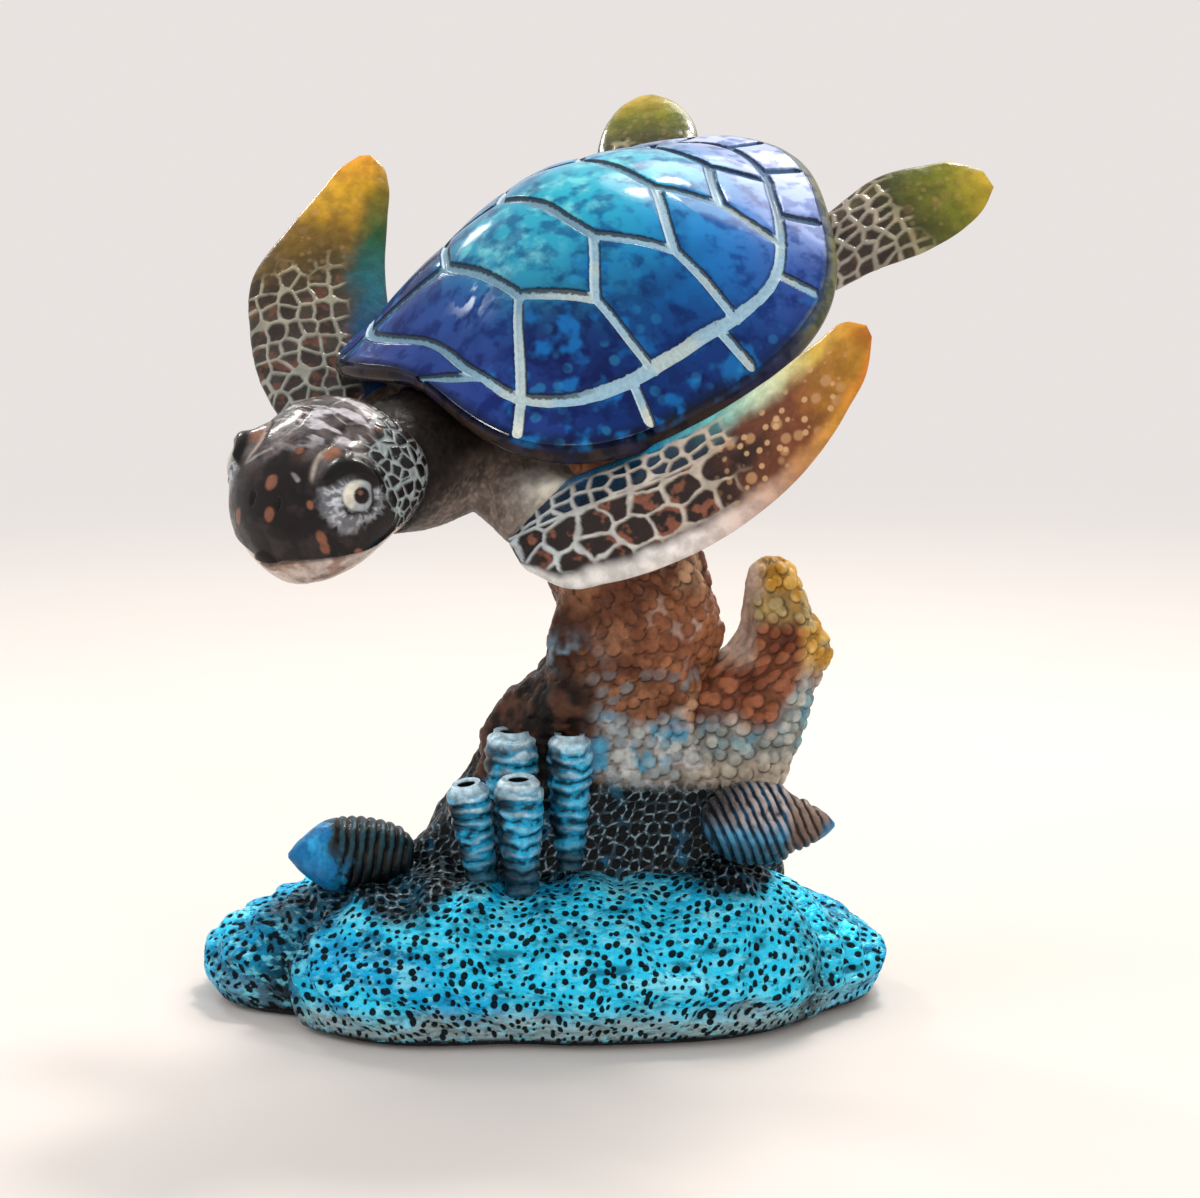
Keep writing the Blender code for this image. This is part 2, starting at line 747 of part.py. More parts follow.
def blade(name, sizes, thickness, curl, finish, pose, steps=16):
    """A flipper: lens sections from root to tip between its leading and trailing edges."""
    root = blade_root(sizes)
    reach = np.array(sizes["reach"]) * MM
    side = np.sign(reach[1])
    along = reach / np.linalg.norm(reach)
    level = np.array([0.0, 0.0, 1.0]) - along[2] * along
    level = level / np.linalg.norm(level)
    chord = np.cross(along, level) * side
    lean = np.radians(sizes["twist"])
    forward = np.cos(lean) * chord - np.sin(lean) * level
    normal = np.cos(lean) * level + np.sin(lean) * chord
    table = np.array(sizes["edges"]) * MM
    start, end = table[0, 0], table[-1, 0]
    share = 1 - (1 - np.linspace(0, 0.985, 15)) ** 1.6
    at = start + (end - start) * share
    lead = smooth(table[:, 0], table[:, 1], at)
    trail = smooth(table[:, 0], table[:, 2], at)
    thick = thickness * (1 - 0.62 * share**1.5) * np.sqrt(np.clip((1 - share) * 9, 0, 1))
    angle = turn(steps)[:, None]
    rings = [
        root
        + along * at[row]
        + forward * ((lead[row] + trail[row] + (lead[row] - trail[row]) * np.cos(angle)) / 2)
        + normal * (thick[row] / 2 * np.sin(angle) + curl * share[row] ** 2)
        for row in range(len(at))
    ]
    return loft(name, rings, finish, pose)


def flippers(pose):
    finish = material("scaled_skin", (0.22, 0.17, 0.12), 0.35)
    return [
        blade("front_flipper_left", FRONT_LEFT, FRONT_THICKNESS, FRONT_CURL, finish, pose),
        blade("front_flipper_right", FRONT_RIGHT, FRONT_THICKNESS, FRONT_CURL, finish, pose),
        blade("rear_flipper_left", REAR_LEFT, REAR_THICKNESS, 0.0, finish, pose),
        blade("rear_flipper_right", REAR_RIGHT, REAR_THICKNESS, 0.0, finish, pose),
    ]


def support_pin(pose):
    """Upright, half in the coral and half in the turtle, its middle at the belly."""
    finish = material("steel", (0.6, 0.6, 0.62), 0.3, 1.0)
    belly = belly_plane(PIN_X, PIN_Y, pose)
    low = (PIN_X, PIN_Y, belly - PIN_IN_CORAL)
    high = (PIN_X, PIN_Y, belly + PIN_IN_BODY)
    profile = [
        (0.0, PIN_RADIUS * 0.8),
        (0.03, PIN_RADIUS),
        (0.97, PIN_RADIUS),
        (1.0, PIN_RADIUS * 0.8),
    ]
    return turned("support_pin", low, high, profile, finish)


def build():
    clear_scene()
    felt_pad()
    rock = base_rock()
    column = coral_column(turtle_matrix())
    branch = coral_branch()
    sponges = [tube_sponge(*sizes) for sizes in SPONGES]
    shells = [spiral_shell(*sizes) for sizes in SHELLS]
    pin = support_pin(turtle_matrix())

    pose = turtle_pose()
    shell = carapace(pose)
    body = torso(pose)
    skin = body.data.materials[0]
    neck_part = neck(pose, skin)
    shoulder_part = shoulders(pose, skin)
    tail_part = tail(pose, skin)
    skull = head(pose)
    limbs = flippers(pose)

    cut(rock, column, *sponges, *shells)
    cut(column, branch, *sponges, *shells, body, neck_part, shoulder_part)
    cut(column, pin, gap=PIN_CLEARANCE)
    cut(branch, *shells)
    join(body, neck_part, shoulder_part, tail_part)
    cut(skull, neck_part)
    cut(body, shell, *limbs)
    cut(body, pin, gap=PIN_CLEARANCE)
    for limb_part in limbs:
        cut(limb_part, shell)


build()
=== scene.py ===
"""Sea turtle figurine, dressed: a glazed turtle over painted coral, sponges and pitted rock.

Run with: blender --background --python scene.py
Surfaces are worked out with numpy in millimetres and stand in the frame's own place. The
turtle's pieces are drawn in the turtle's frame (+X to its nose, +Y to its left, +Z to its
back) and then carried to its swimming place.
"""

import bpy
import numpy as np
from mathutils import Euler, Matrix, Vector


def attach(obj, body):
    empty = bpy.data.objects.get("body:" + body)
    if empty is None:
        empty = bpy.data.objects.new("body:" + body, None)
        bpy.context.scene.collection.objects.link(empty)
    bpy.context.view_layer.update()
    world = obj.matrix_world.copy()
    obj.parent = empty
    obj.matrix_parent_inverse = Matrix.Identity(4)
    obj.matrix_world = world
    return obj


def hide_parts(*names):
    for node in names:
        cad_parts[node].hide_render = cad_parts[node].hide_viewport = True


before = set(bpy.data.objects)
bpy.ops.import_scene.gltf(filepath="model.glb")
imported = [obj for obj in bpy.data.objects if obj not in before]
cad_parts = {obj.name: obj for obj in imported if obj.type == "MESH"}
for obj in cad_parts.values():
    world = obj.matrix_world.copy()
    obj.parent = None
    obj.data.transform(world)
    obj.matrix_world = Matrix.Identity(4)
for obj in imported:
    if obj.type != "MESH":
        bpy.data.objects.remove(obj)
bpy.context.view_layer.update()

bl_info = {
    "name": "Sea Turtle Figurine",
    "version": (1, 0, 0),
    "blender": (4, 5, 0),
    "location": "3D Viewport > Sidebar > Turtle",
    "description": "Dresses the sea turtle figurine with painted, glazed and carved surfaces",
    "category": "Object",
}

MM = 0.001

# Rock base
FELT_TOP = 1.1
BASE_WIDTH, BASE_DEPTH = 93.0, 60.0
BASE_CENTRE = (-0.5, 12.5)
BASE_SIDE_HEIGHT = 6.5
BASE_MOUND_HEIGHT = 15.5
BASE_UNDERCUT = 2.0
BASE_BACK_LOWER = 0.375
# Lobes seen from above: direction in degrees, push, width in degrees
BASE_LOBES = (
    (190, 0.8, 12), (204, -4.5, 6), (231, 2.0, 15), (264, -1.0, 14), (320, 1.4, 16),
    (340, -1.0, 6), (354, 1.2, 12), (34, -2.5, 10), (62, 2.0, 16), (96, -2.0, 14), (126, 2.0, 16),
    (156, -3.0, 10),
)
# Lumps that the shells lie on: x, y, height, spread
BASE_LUMPS = ((27.0, 0.0, 5.0, 8.0), (-26.0, 2.5, 2.0, 9.0))
# Lumps of the rock's skin: height, how far apart, and the height at which they are full
ROCK_LUMP, ROCK_LUMP_SPACING, ROCK_LUMP_FADE = 0.8, 7.0, 3.0
# Pits: how far apart, how deep, how unevenly sown, their least radius and how much it varies
# as shares of the spacing, and the cells after which the sowing repeats
PIT_SPACING = 1.48
PIT_DEPTH = 0.32
PIT_SCATTER = 0.66
PIT_REACH, PIT_REACH_LOT, PIT_REACH_FOOT = 0.17, 0.19, 0.06
PIT_CELLS = 160
# Brush-like crinkles of the rock, its slower swell, and how far both are sunk
CRINKLE_HEIGHT, ROCK_SWELL, ROCK_SINK = 0.75, 0.3, 0.22
CREST = FELT_TOP + BASE_SIDE_HEIGHT + BASE_MOUND_HEIGHT

# Coral: height above the rock's crest, left, right, front and back edge
COLUMN_STATIONS = (
    (-7.1, -22.0, 32.0, -1.0, 22.0), (1.9, -15.5, 30.5, 1.0, 19.5), (7.9, -11.0, 29.5, 1.5, 18.0),
    (13.9, -8.0, 27.5, 1.5, 17.0), (18.9, -5.0, 24.5, 0.5, 17.0), (23.9, 0.0, 22.0, -1.0, 16.0),
    (28.9, 1.2, 23.0, -1.5, 15.5), (32.9, 1.8, 22.5, -1.5, 15.0), (37.9, 0.0, 20.5, -2.0, 14.5),
    (43.9, -3.0, 20.5, -3.5, 14.5),
)
COLUMN_CROWN = (-4.0, 21.0, -3.0, 16.0)
# Power of the rounded-square sections, and how fast the lumps' two waves turn as they rise
CORAL_SQUARENESS = 2.6
CORAL_WAVE_RISES = (4.1, 2.6)
CROWN_SINK = 1.5
# Height of the coral's lumps, and how many there are round it
COLUMN_LUMP, COLUMN_WAVES = 1.1, 5
BRANCH_STATIONS = (
    (3.4, 22.0, 30.5, 4.0, 12.0), (7.9, 20.0, 32.0, 3.0, 13.0), (12.9, 19.0, 34.0, 1.5, 13.5),
    (17.9, 19.5, 35.5, 0.5, 13.5), (22.4, 20.5, 37.0, 1.5, 13.0), (25.4, 24.0, 38.0, 2.5, 12.0),
    (28.4, 26.4, 36.8, 3.2, 11.6), (32.4, 26.8, 35.0, 3.8, 11.0), (35.6, 27.2, 33.6, 4.4, 10.4),
    (37.4, 28.2, 32.4, 5.4, 9.6), (38.3, 29.6, 31.0, 6.8, 8.2),
)
BRANCH_LUMP, BRANCH_WAVES = 0.6, 4

# Tube sponges: foot x and y, lean x and y, rise above the crest, radius
SPONGES = {
    "tube_sponge_front_left": (-8.0, -2.0, -2.2, -1.8, 9.9, 2.9),
    "tube_sponge_front_centre": (-3.0, -3.4, -0.3, -1.2, 10.7, 3.3),
    "tube_sponge_rear_left": (-4.6, 3.4, 0.2, -0.2, 15.5, 3.7),
    "tube_sponge_right": (3.2, 1.4, 0.2, -0.3, 15.5, 3.1),
}
SPONGE_SINK = 5.0
SPONGE_OPENING_SHARE = 0.42
SPONGE_OPENING_DEPTH = 3.5

# Profiles of the shells from tip to mouth: share of the length and share of the radius
ACORN_PROFILE = (
    (0.0, 0.06), (0.06, 0.30), (0.16, 0.60), (0.28, 0.88), (0.40, 0.99), (0.54, 1.0),
    (0.70, 0.93), (0.84, 0.80), (0.95, 0.58), (1.0, 0.36),
)
TURRET_PROFILE = (
    (0.0, 0.06), (0.05, 0.22), (0.14, 0.42), (0.24, 0.60), (0.33, 0.70), (0.38, 0.86),
    (0.50, 0.97), (0.63, 1.0), (0.77, 0.93), (0.90, 0.70), (1.0, 0.34),
)
# Shells: tip and mouth (x, y, height above the crest), radius, profile
SHELL_LEFT = ((-34.3, 0.5, -1.1), (-17.8, 3.0, -1.4), 5.1, ACORN_PROFILE)
SHELL_RIGHT = ((38.6, -0.6, 3.4), (21.0, -3.0, 4.5), 5.6, TURRET_PROFILE)

# The turtle's swimming place: position, and roll, nose down and heading in degrees
TURTLE_PLACE = (5.3, 0.1, CREST + 73.5)
TURTLE_TURNS = (-14.9, 30.0, -144.6)

# Carapace
CARAPACE_LENGTH, CARAPACE_WIDTH = 65.3, 62.2
CARAPACE_RISE = 14.9
CARAPACE_RIM = 2.0
OUTLINE_WAVES = (-0.056, 0.040, -0.010, -0.036, -0.052)
OUTLINE_RADIUS = 32.04
RIM_SADDLE, RIM_KICK = 4.1, 1.55
# Where seams meet on the turtle's left side, in plan; the right side mirrors it
SEAM_KNOTS = {
    "v12": (14.05, 7.19),
    "v23": (1.99, 8.83),
    "v34": (-10.25, 7.28),
    "v45": (-20.63, 5.59),
    "c12": (8.25, 14.36),
    "c23": (-4.18, 16.07),
    "c34": (-15.18, 12.87),
}
SEAM_PATHS = (
    ("v12", "c12", "v23", "c23", "v34", "c34", "v45"), ("v12", 33), ("c12", 69), ("c23", 99),
    ("c34", 128), ("v45", 157),
)
CROSS_SEAMS = ("v12", "v23", "v34", "v45")
MARGIN_DEPTH = 0.186
RIM_SEAM_ANGLES = (33, 62, 93, 117, 140, 162, 180)
# A long seam across the front margin: the angles where it starts and where it tapers out
SPUR_ANGLES = (21, 1)

# Body, neck and tail
BODY_SHARE = 0.84
BODY_DEPTH, BODY_EDGE = 11.0, 2.5
GLUE_GAP = 0.3
NECK_RADIUS, CHEST_RADIUS = 8.6, 12.5
NECK_SAG, CHEST_DROP = 1.3, 7.5
SHOULDER_REACH, SHOULDER_HEIGHT = 6.0, 4.2
SHOULDER_BACK, SHOULDER_RISE = 3.0, 1.5
TAIL_LENGTH, TAIL_RADIUS, TAIL_OVERLAP = 10.0, 3.0, 6.0
TAIL_DROP, TAIL_DROOP = 4.5, 1.1

# Head
HEAD_MIDDLE = (CARAPACE_LENGTH / 2 + 12.6, 0.2, 0.4)
HEAD_TURN = 11.0
HEAD_LENGTH, HEAD_WIDTH = 23.0, 24.4
HEAD_TOP, HEAD_CHIN = 8.4, 9.2
BROW_BULGE = 1.0
# The eye's middle (forward, aside, up), and the ways forward and down along the face there
EYE_PLACE = (3.1, 10.3, 3.6)
EYE_AHEAD = (0.686, -0.657, 0.313)
EYE_DOWN = (0.532, 0.096, -0.841)
# Copper ovals on the head: forward, left and up, radius
HEAD_OVALS = (
    (6.7, 0.3, 5.9, 0.8), (2.3, 2.0, 7.8, 0.5), (9.4, 1.1, 3.2, 0.7), (9.5, -4.7, 1.6, 0.7),
    (8.4, 7.6, 0.6, 0.65), (8.5, 7.7, -0.8, 0.6), (6.9, 6.1, 4.0, 0.45), (-5.6, 7.6, 6.2, 0.5),
    (5.8, 9.9, -3.0, 0.55),
)
# Pale painted strokes on the head, each from one place to the other
HEAD_STROKES = (
    ((2.9, -2.2, 7.5), (4.2, 1.0, 7.0)), ((4.2, 1.0, 7.0), (5.5, 3.8, 6.2)),
    ((2.9, -2.2, 7.5), (4.9, -5.2, 6.4)), ((-1.2, -1.0, 8.3), (2.9, -2.2, 7.5)),
)
# The mouth's line: forward and up
MOUTH_LINE = ((0.0, -3.8), (4.0, -4.1), (7.0, -3.2), (9.0, -2.6), (10.4, -2.3), (11.6, -2.6))
# Share of the head's length, half width, top, chin
HEAD_STATIONS = (
    (-0.47, 0.22, 0.5, 0.4), (-0.42, 0.36, 0.75, 0.65), (-0.3, 0.47, 0.95, 0.85),
    (-0.12, 0.5, 1.0, 0.95), (0.08, 0.49, 0.96, 1.0), (0.26, 0.42, 0.78, 1.0),
    (0.38, 0.32, 0.5, 0.92), (0.46, 0.2, 0.2, 0.75), (0.5, 0.08, -0.1, 0.5),
)

# Flippers: root (shares of half length and half width, height), reach, twist in degrees,
# thickness, lift of the tip, and edges: distance along, leading edge, trailing edge
FLIPPERS = {
    "front_flipper_left": {
        "root": (0.80, 0.55, -11.0),
        "reach": (-33.0, 27.0, 15.0),
        "twist": 30,
        "thick": 5.2,
        "curl": 2.0,
        "edges": (
            (-5.0, 5.5, -0.5), (-1.5, 9.8, -2.4), (4.0, 12.2, -2.6), (14.0, 14.4, -1.0),
            (24.0, 14.4, 0.0), (33.0, 12.3, -0.2), (40.0, 8.6, -1.0), (44.5, 5.0, -1.0),
            (46.2, 2.2, 0.6),
        ),
    },
    "front_flipper_right": {
        "root": (0.80, -0.55, -9.0),
        "reach": (-30.0, -29.0, 15.5),
        "twist": -10,
        "thick": 5.2,
        "curl": 2.0,
        "edges": (
            (-6.0, 5.0, -3.5), (-1.0, 10.5, -4.0), (6.0, 14.6, -3.4), (16.0, 16.8, -2.2),
            (25.0, 16.4, -1.6), (32.5, 11.6, -2.0), (38.5, 7.0, -2.2), (42.0, 4.2, -1.2),
            (43.6, 1.8, 0.2),
        ),
    },
    "rear_flipper_left": {
        "root": (-0.735, 0.58, -6.0),
        "reach": (-23.0, 10.5, 2.0),
        "twist": 25,
        "thick": 4.2,
        "curl": 0.0,
        "edges": (
            (-6.0, 2.6, -4.2), (0.0, 3.6, -5.6), (6.0, 3.6, -7.4), (14.0, 4.4, -8.8),
            (19.5, 3.8, -7.3), (23.0, 2.4, -5.8), (25.6, 0.2, -2.8),
        ),
    },
    "rear_flipper_right": {
        "root": (-0.735, -0.58, -6.0),
        "reach": (-19.0, -14.0, 4.0),
        "twist": 0,
        "thick": 4.2,
        "curl": 0.0,
        "edges": (
            (-6.0, 2.6, -4.2), (0.0, 4.0, -5.8), (6.0, 5.2, -7.4), (14.0, 6.6, -8.0),
            (19.5, 5.6, -5.4), (22.5, 3.8, -2.6), (24.0, 1.8, -0.2),
        ),
    },
}


# Fineness of the skins: rings along each and points round it
CARAPACE_GRID = 287
TORSO_TOP_ROWS, TORSO_BELLY_ROWS, TORSO_AROUND = 24, 26, 120
LIMB_ROWS, NECK_AROUND, SHOULDER_AROUND, TAIL_AROUND = 40, 72, 48, 32
# Voxels that merge the body's parts, in mm, and how often the merged skin is relaxed
BODY_VOXEL, BODY_RELAX = 0.36, 12
HEAD_ROWS, NOSE_ROWS, HEAD_AROUND = 286, 14, 300
FRONT_FLIPPER_GRID = (310, 290)
REAR_FLIPPER_GRID = (210, 190)
COLUMN_ROWS, CROWN_ROWS, CROWN_FADE, COLUMN_AROUND = 262, 44, 6, 310
BRANCH_ROWS, BRANCH_AROUND = 240, 230
SPONGE_ROWS, SPONGE_LIP_ROWS, SPONGE_INNER_ROWS, SPONGE_AROUND = 130, 11, 13, 110
SHELL_ROWS, SHELL_AROUND = 230, 150
ROCK_UNDER_ROWS, ROCK_SIDE_ROWS, ROCK_TOP_ROWS, ROCK_AROUND = 10, 49, 204, 880

# Relief of the carapace: swell of a scute, how fast it rises from the seam, and its ripple
SCUTE_SWELL, SCUTE_SWELL_REACH, SCUTE_RIPPLE = 0.45, 2.6, 0.10
# Relief of the body's skin: spacing of the neck's folds, pebbles, unevenness, belly grooves
FOLD_PITCH = 2.3
PEBBLE_SIZE, PEBBLE_HEIGHT = 0.5, 0.09
BODY_UNEVENNESS = 0.5
BELLY_PLATE, BELLY_GROOVE = 11.0, 0.4
# Relief of the head: the eyeball and the groove round it, lids, brows and the hump over them,
# nostrils, mouth and jaw, and the spacing of the plates and the depth of the lines round them
EYE_RADIUS, EYE_BULGE, EYE_MOAT = 1.95, 0.45, 0.25
LID_HEIGHT, BROW_HEIGHT, HUMP_HEIGHT = 0.25, 1.0, 0.5
NOSTRIL_DEPTH, MOUTH_DEPTH, JAW_SINK = 0.4, 0.75, 0.45
BIG_PLATE, BIG_PLATE_LINE = 5.6, 0.22
SMALL_PLATE, SMALL_PLATE_LINE = 1.75, 0.26
BEAK_BULGE = 0.9
HEAD_UNEVENNESS = 0.2
# Relief of the flippers: ridges between the scales, how deep the scales lie, unevenness
RIDGE_HEIGHT, SCALE_SINK, FLIPPER_UNEVENNESS = 0.24, 0.10, 0.3
# Relief of the coral: slow lumps, polyps as a share of their size, the left slope, cracks
COLUMN_SWELL, BRANCH_SWELL = 0.7, 0.8
POLYP_HEIGHT, POLYP_STRENGTH = 0.17, 1.3
SLOPE_ROUGHNESS, CRACK_DEPTH = 1.2, 0.12
# Relief of the sponges: spacing and height of the wrinkles, sink, grain, edge of the opening
WRINKLE_PITCH, WRINKLE_HEIGHT = 1.9, 0.15
SPONGE_SINK_IN, SPONGE_GRAIN, SPONGE_LIP = 0.12, 0.12, 0.15
# Relief of the shells: the ribs and the grain
RIB_HEIGHT, SHELL_GRAIN = 0.36, 0.2
LEFT_RIBS = {"rib_pitch": 1.35, "slant": -0.15, "plain_tip": 0.38, "salt": 71}
RIGHT_RIBS = {"rib_pitch": 1.3, "slant": 0.5, "plain_tip": 0.12, "salt": 75}


# Curves, noise and cells


def smooth(keys, values, at):
    """A curve through key values: Hermite pieces whose slopes are the keys' own gradient."""
    keys = np.asarray(keys, float)
    values = np.asarray(values, float)
    slopes = np.gradient(values, keys)
    at = np.clip(at, keys[0], keys[-1])
    cell = np.clip(np.searchsorted(keys, at, side="right") - 1, 0, len(keys) - 2)
    span = keys[cell + 1] - keys[cell]
    t = (at - keys[cell]) / span
    return (
        values[cell] * (2 * t**3 - 3 * t**2 + 1)
        + values[cell + 1] * (3 * t**2 - 2 * t**3)
        + slopes[cell] * span * (t**3 - 2 * t**2 + t)
        + slopes[cell + 1] * span * (t**3 - t**2)
    )


def ease(start, end, at):
    """An S-shaped step from 0 at start to 1 at end; end may lie below start."""
    t = np.clip((at - start) / (end - start), 0, 1)
    return t * t * (3 - 2 * t)


def bell(distance, width):
    """1 in the middle, falling off as a bell of the given width."""
    return np.exp(-((distance / width) ** 2))


def turn(steps):
    return np.arange(steps) * 2 * np.pi / steps


def chance(places, salt):
    """A repeatable number from 0 to 1 for each whole-number place: its digits mixed by
    multiplying and shifting."""
    mask = np.uint64(0xFFFFFFFF)
    mixed = np.full(places.shape[:-1], (salt * 2654435761) % 2**32, np.uint64)
    for axis in range(places.shape[-1]):
        whole = (places[..., axis].astype(np.int64) & 0xFFFFF).astype(np.uint64)
        mixed = ((mixed ^ whole) * np.uint64(2246822519)) & mask
        mixed = mixed ^ (mixed >> np.uint64(13))
    mixed = (mixed * np.uint64(3266489917)) & mask
    return (mixed ^ (mixed >> np.uint64(16))).astype(float) / 2**32


def noise(points, size, salt):
    """Soft noise from 0 to 1: numbers at a lattice's corners, blended between them."""
    at = points / size
    low = np.floor(at)
    part = at - low
    part = part * part * (3 - 2 * part)
    total = 0.0
    for corner in np.ndindex(*(2,) * points.shape[-1]):
        weight = np.prod(np.where(corner, part, 1 - part), axis=-1)
        total = total + weight * chance(low + corner, salt)
    return total


def cloudy(points, size, salt, layers=3):
    """Noise plus finer noise, each layer half as big and half as strong, from 0 to 1."""
    total, most = 0.0, 0.0
    for layer in range(layers):
        total = total + noise(points, size / 2**layer, salt + layer) / 2**layer
        most += 0.5**layer
    return total / most


def cells(points, size, salt, spread=0.9):
    """Cells around seeds scattered one to a lattice cube. It gives the distance to the seed,
    the distance to the cell's border and a random number for each cell."""
    at = points / size
    low = np.floor(at)
    kinds = at.shape[-1]
    steps = np.stack(np.meshgrid(*[(-1, 0, 1)] * kinds, indexing="ij"), -1).reshape(-1, kinds)
    seeds = []
    nearest = np.full(at.shape[:-1], np.inf)
    home = np.zeros_like(at)
    which = np.zeros_like(at)
    for step in steps:
        place = low + step
        push = np.stack([chance(place, salt + 11 * axis) for axis in range(kinds)], -1)
        seed = place + 0.5 + (push - 0.5) * spread - at
        away = (seed**2).sum(-1)
        closer = away < nearest
        nearest = np.where(closer, away, nearest)
        home = np.where(closer[..., None], seed, home)
        which = np.where(closer[..., None], place, which)
        seeds.append(seed)
    border = np.full(at.shape[:-1], np.inf)
    for seed in seeds:
        apart = seed - home
        length = np.sqrt((apart**2).sum(-1))
        half = ((seed + home) / 2 * apart).sum(-1) / np.maximum(length, 1e-9)
        border = np.where(length > 1e-6, np.minimum(border, half), border)
    return np.sqrt(nearest) * size, border * size, chance(which, salt + 97)


def to_lines(points, lines):
    """Distance from plan points to the nearest of the straight lines, each a pair of ends."""
    nearest = np.full(len(points), np.inf)
    for start, end in lines:
        start, run = np.asarray(start, float), np.subtract(end, start)
        share = np.clip((points - start) @ run / (run @ run), 0, 1)
        away = np.linalg.norm(points - start - share[:, None] * run, axis=1)
        nearest = np.minimum(nearest, away)
    return nearest


# Colours


def tint(code):
    """A colour written as RRGGBB, as the linear values that Blender works in."""
    part = np.array([int(code[start : start + 2], 16) for start in (0, 2, 4)]) / 255
    return np.where(part <= 0.04045, part / 12.92, ((part + 0.055) / 1.055) ** 2.4)


def over(under, colour, amount):
    """A colour laid over another by an amount from 0 to 1 at each point. Each colour is a code
    or an array."""
    under, colour = (tint(one) if isinstance(one, str) else one for one in (under, colour))
    amount = np.clip(amount, 0, 1)[..., None]
    return under * (1 - amount) + np.asarray(colour) * amount


def coats(paint, *layers):
    """Paint with coats laid over it one after another, each a colour and its amount."""
    for colour, amount in layers:
        paint = over(paint, colour, amount)
    return paint


def washed(points, sites, spread):
    """A wash of colours: at each point the mean of the sites' colours, weighted by a bell of
    the distance to each. A site is its place and its colour."""
    total = np.zeros((len(points), 3))
    weight = np.full((len(points), 1), 1e-9)
    for place, code in sites:
        share = bell(np.linalg.norm(points - np.asarray(place, float), axis=1), spread)[:, None]
        total += share * tint(code)
        weight += share
    return total / weight


# Meshes


def outward(rings):
    """Normals of a grid of rings: the cross product of its two directions, turned away from
    each ring's middle."""
    along = np.gradient(rings, axis=0)
    about = np.roll(rings, -1, axis=1) - np.roll(rings, 1, axis=1)
    normal = np.cross(about, along)
    normal /= np.maximum(np.linalg.norm(normal, axis=2, keepdims=True), 1e-12)
    middle = rings.mean(axis=1, keepdims=True)
    return normal * np.sign((normal * (rings - middle)).sum())


def pushed(rings, push):
    """Rings pushed out by mm along their normals."""
    return rings + outward(rings) * push[..., None]


def mesh_of(name, points, quads, triangles):
    """A mesh of points in mm, four-cornered and three-cornered faces. Its volume tells
    whether the faces look outwards; if they don't, they are all turned round."""
    halves = np.concatenate([quads[:, [0, 1, 2]], quads[:, [0, 2, 3]], triangles])
    corner = points[halves]
    if (corner[:, 0] * np.cross(corner[:, 1], corner[:, 2])).sum() < 0:
        quads, triangles = quads[:, ::-1], triangles[:, ::-1]
    mesh = bpy.data.meshes.new(name)
    mesh.vertices.add(len(points))
    mesh.vertices.foreach_set("co", (points * MM).astype(np.float32).ravel())
    corners = np.concatenate([quads.ravel(), triangles.ravel()]).astype(np.int32)
    mesh.loops.add(len(corners))
    mesh.loops.foreach_set("vertex_index", corners)
    starts = np.concatenate(
        [np.arange(len(quads)) * 4, len(quads) * 4 + np.arange(len(triangles)) * 3]
    )
    mesh.polygons.add(len(starts))
    mesh.polygons.foreach_set("loop_start", starts.astype(np.int32))
    mesh.update(calc_edges=True)
    mesh.validate()
    mesh.shade_smooth()
    return mesh


def ring_mesh(name, rings):
    """A closed skin over rings of points, its two ends closed by a point in their middle."""
    rows, around, _ = rings.shape
    row, step = np.meshgrid(np.arange(rows - 1), np.arange(around), indexing="ij")
    after = (step + 1) % around
    quads = np.stack(
        [
            row * around + step,
            row * around + after,
            (row + 1) * around + after,
            (row + 1) * around + step,
        ],
        axis=-1,
    ).reshape(-1, 4)
    step = np.arange(around)
    after = (step + 1) % around
    first, last = rows * around, rows * around + 1
    near = np.stack([np.full(around, first), after, step], axis=1)
    end = (rows - 1) * around
    far = np.stack([np.full(around, last), end + step, end + after], axis=1)
    points = np.concatenate([rings.reshape(-1, 3), rings[:1].mean(1), rings[-1:].mean(1)])
    return mesh_of(name, points, quads, np.concatenate([near, far]))


def with_ends(values):
    """Values on rings, with those of the two end points added."""
    flat = values.reshape(-1, *values.shape[2:])
    return np.concatenate([flat, values[:1].mean(1), values[-1:].mean(1)])


def keep(mesh, name, values):
    """Keeps a number or a colour at each point of the mesh, for its material to read."""
    if values.ndim == 2:
        layer = mesh.attributes.new(name, "FLOAT_COLOR", "POINT")
        values = np.concatenate([values, np.ones((len(values), 1))], axis=1)
        layer.data.foreach_set("color", np.clip(values, 0, 1).astype(np.float32).ravel())
    else:
        layer = mesh.attributes.new(name, "FLOAT", "POINT")
        layer.data.foreach_set("value", values.astype(np.float32))


def skin(name, rings, **kept):
    """A closed skin over rings that keeps numbers or colours at its points."""
    mesh = ring_mesh(name, rings)
    for key, values in kept.items():
        keep(mesh, key, with_ends(values))
    return mesh


def keep_place(mesh, name, places):
    """Keeps a place in mm at each point of the mesh, for its material to lay patterns on."""
    layer = mesh.attributes.new(name, "FLOAT_VECTOR", "POINT")
    layer.data.foreach_set("vector", places.astype(np.float32).ravel())


def add_piece(mesh, finish, node):
    """Puts the mesh in the scene in place of its CAD node."""
    piece = bpy.data.objects.new(mesh.name, mesh)
    bpy.context.scene.collection.objects.link(piece)
    mesh.materials.append(finish)
    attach(piece, "root")
    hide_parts(node)


def swimming(points):
    """Points of the turtle's frame, turned and carried to its swimming place."""
    turned = np.array(Euler(np.radians(TURTLE_TURNS), "XYZ").to_matrix())
    return points @ turned.T + np.array(TURTLE_PLACE)


# Material nodes

# Strength of the paint's plain mirror-like sheen, and of its flecks
SHEEN = 0.12
FLECK_STRENGTH = 0.7


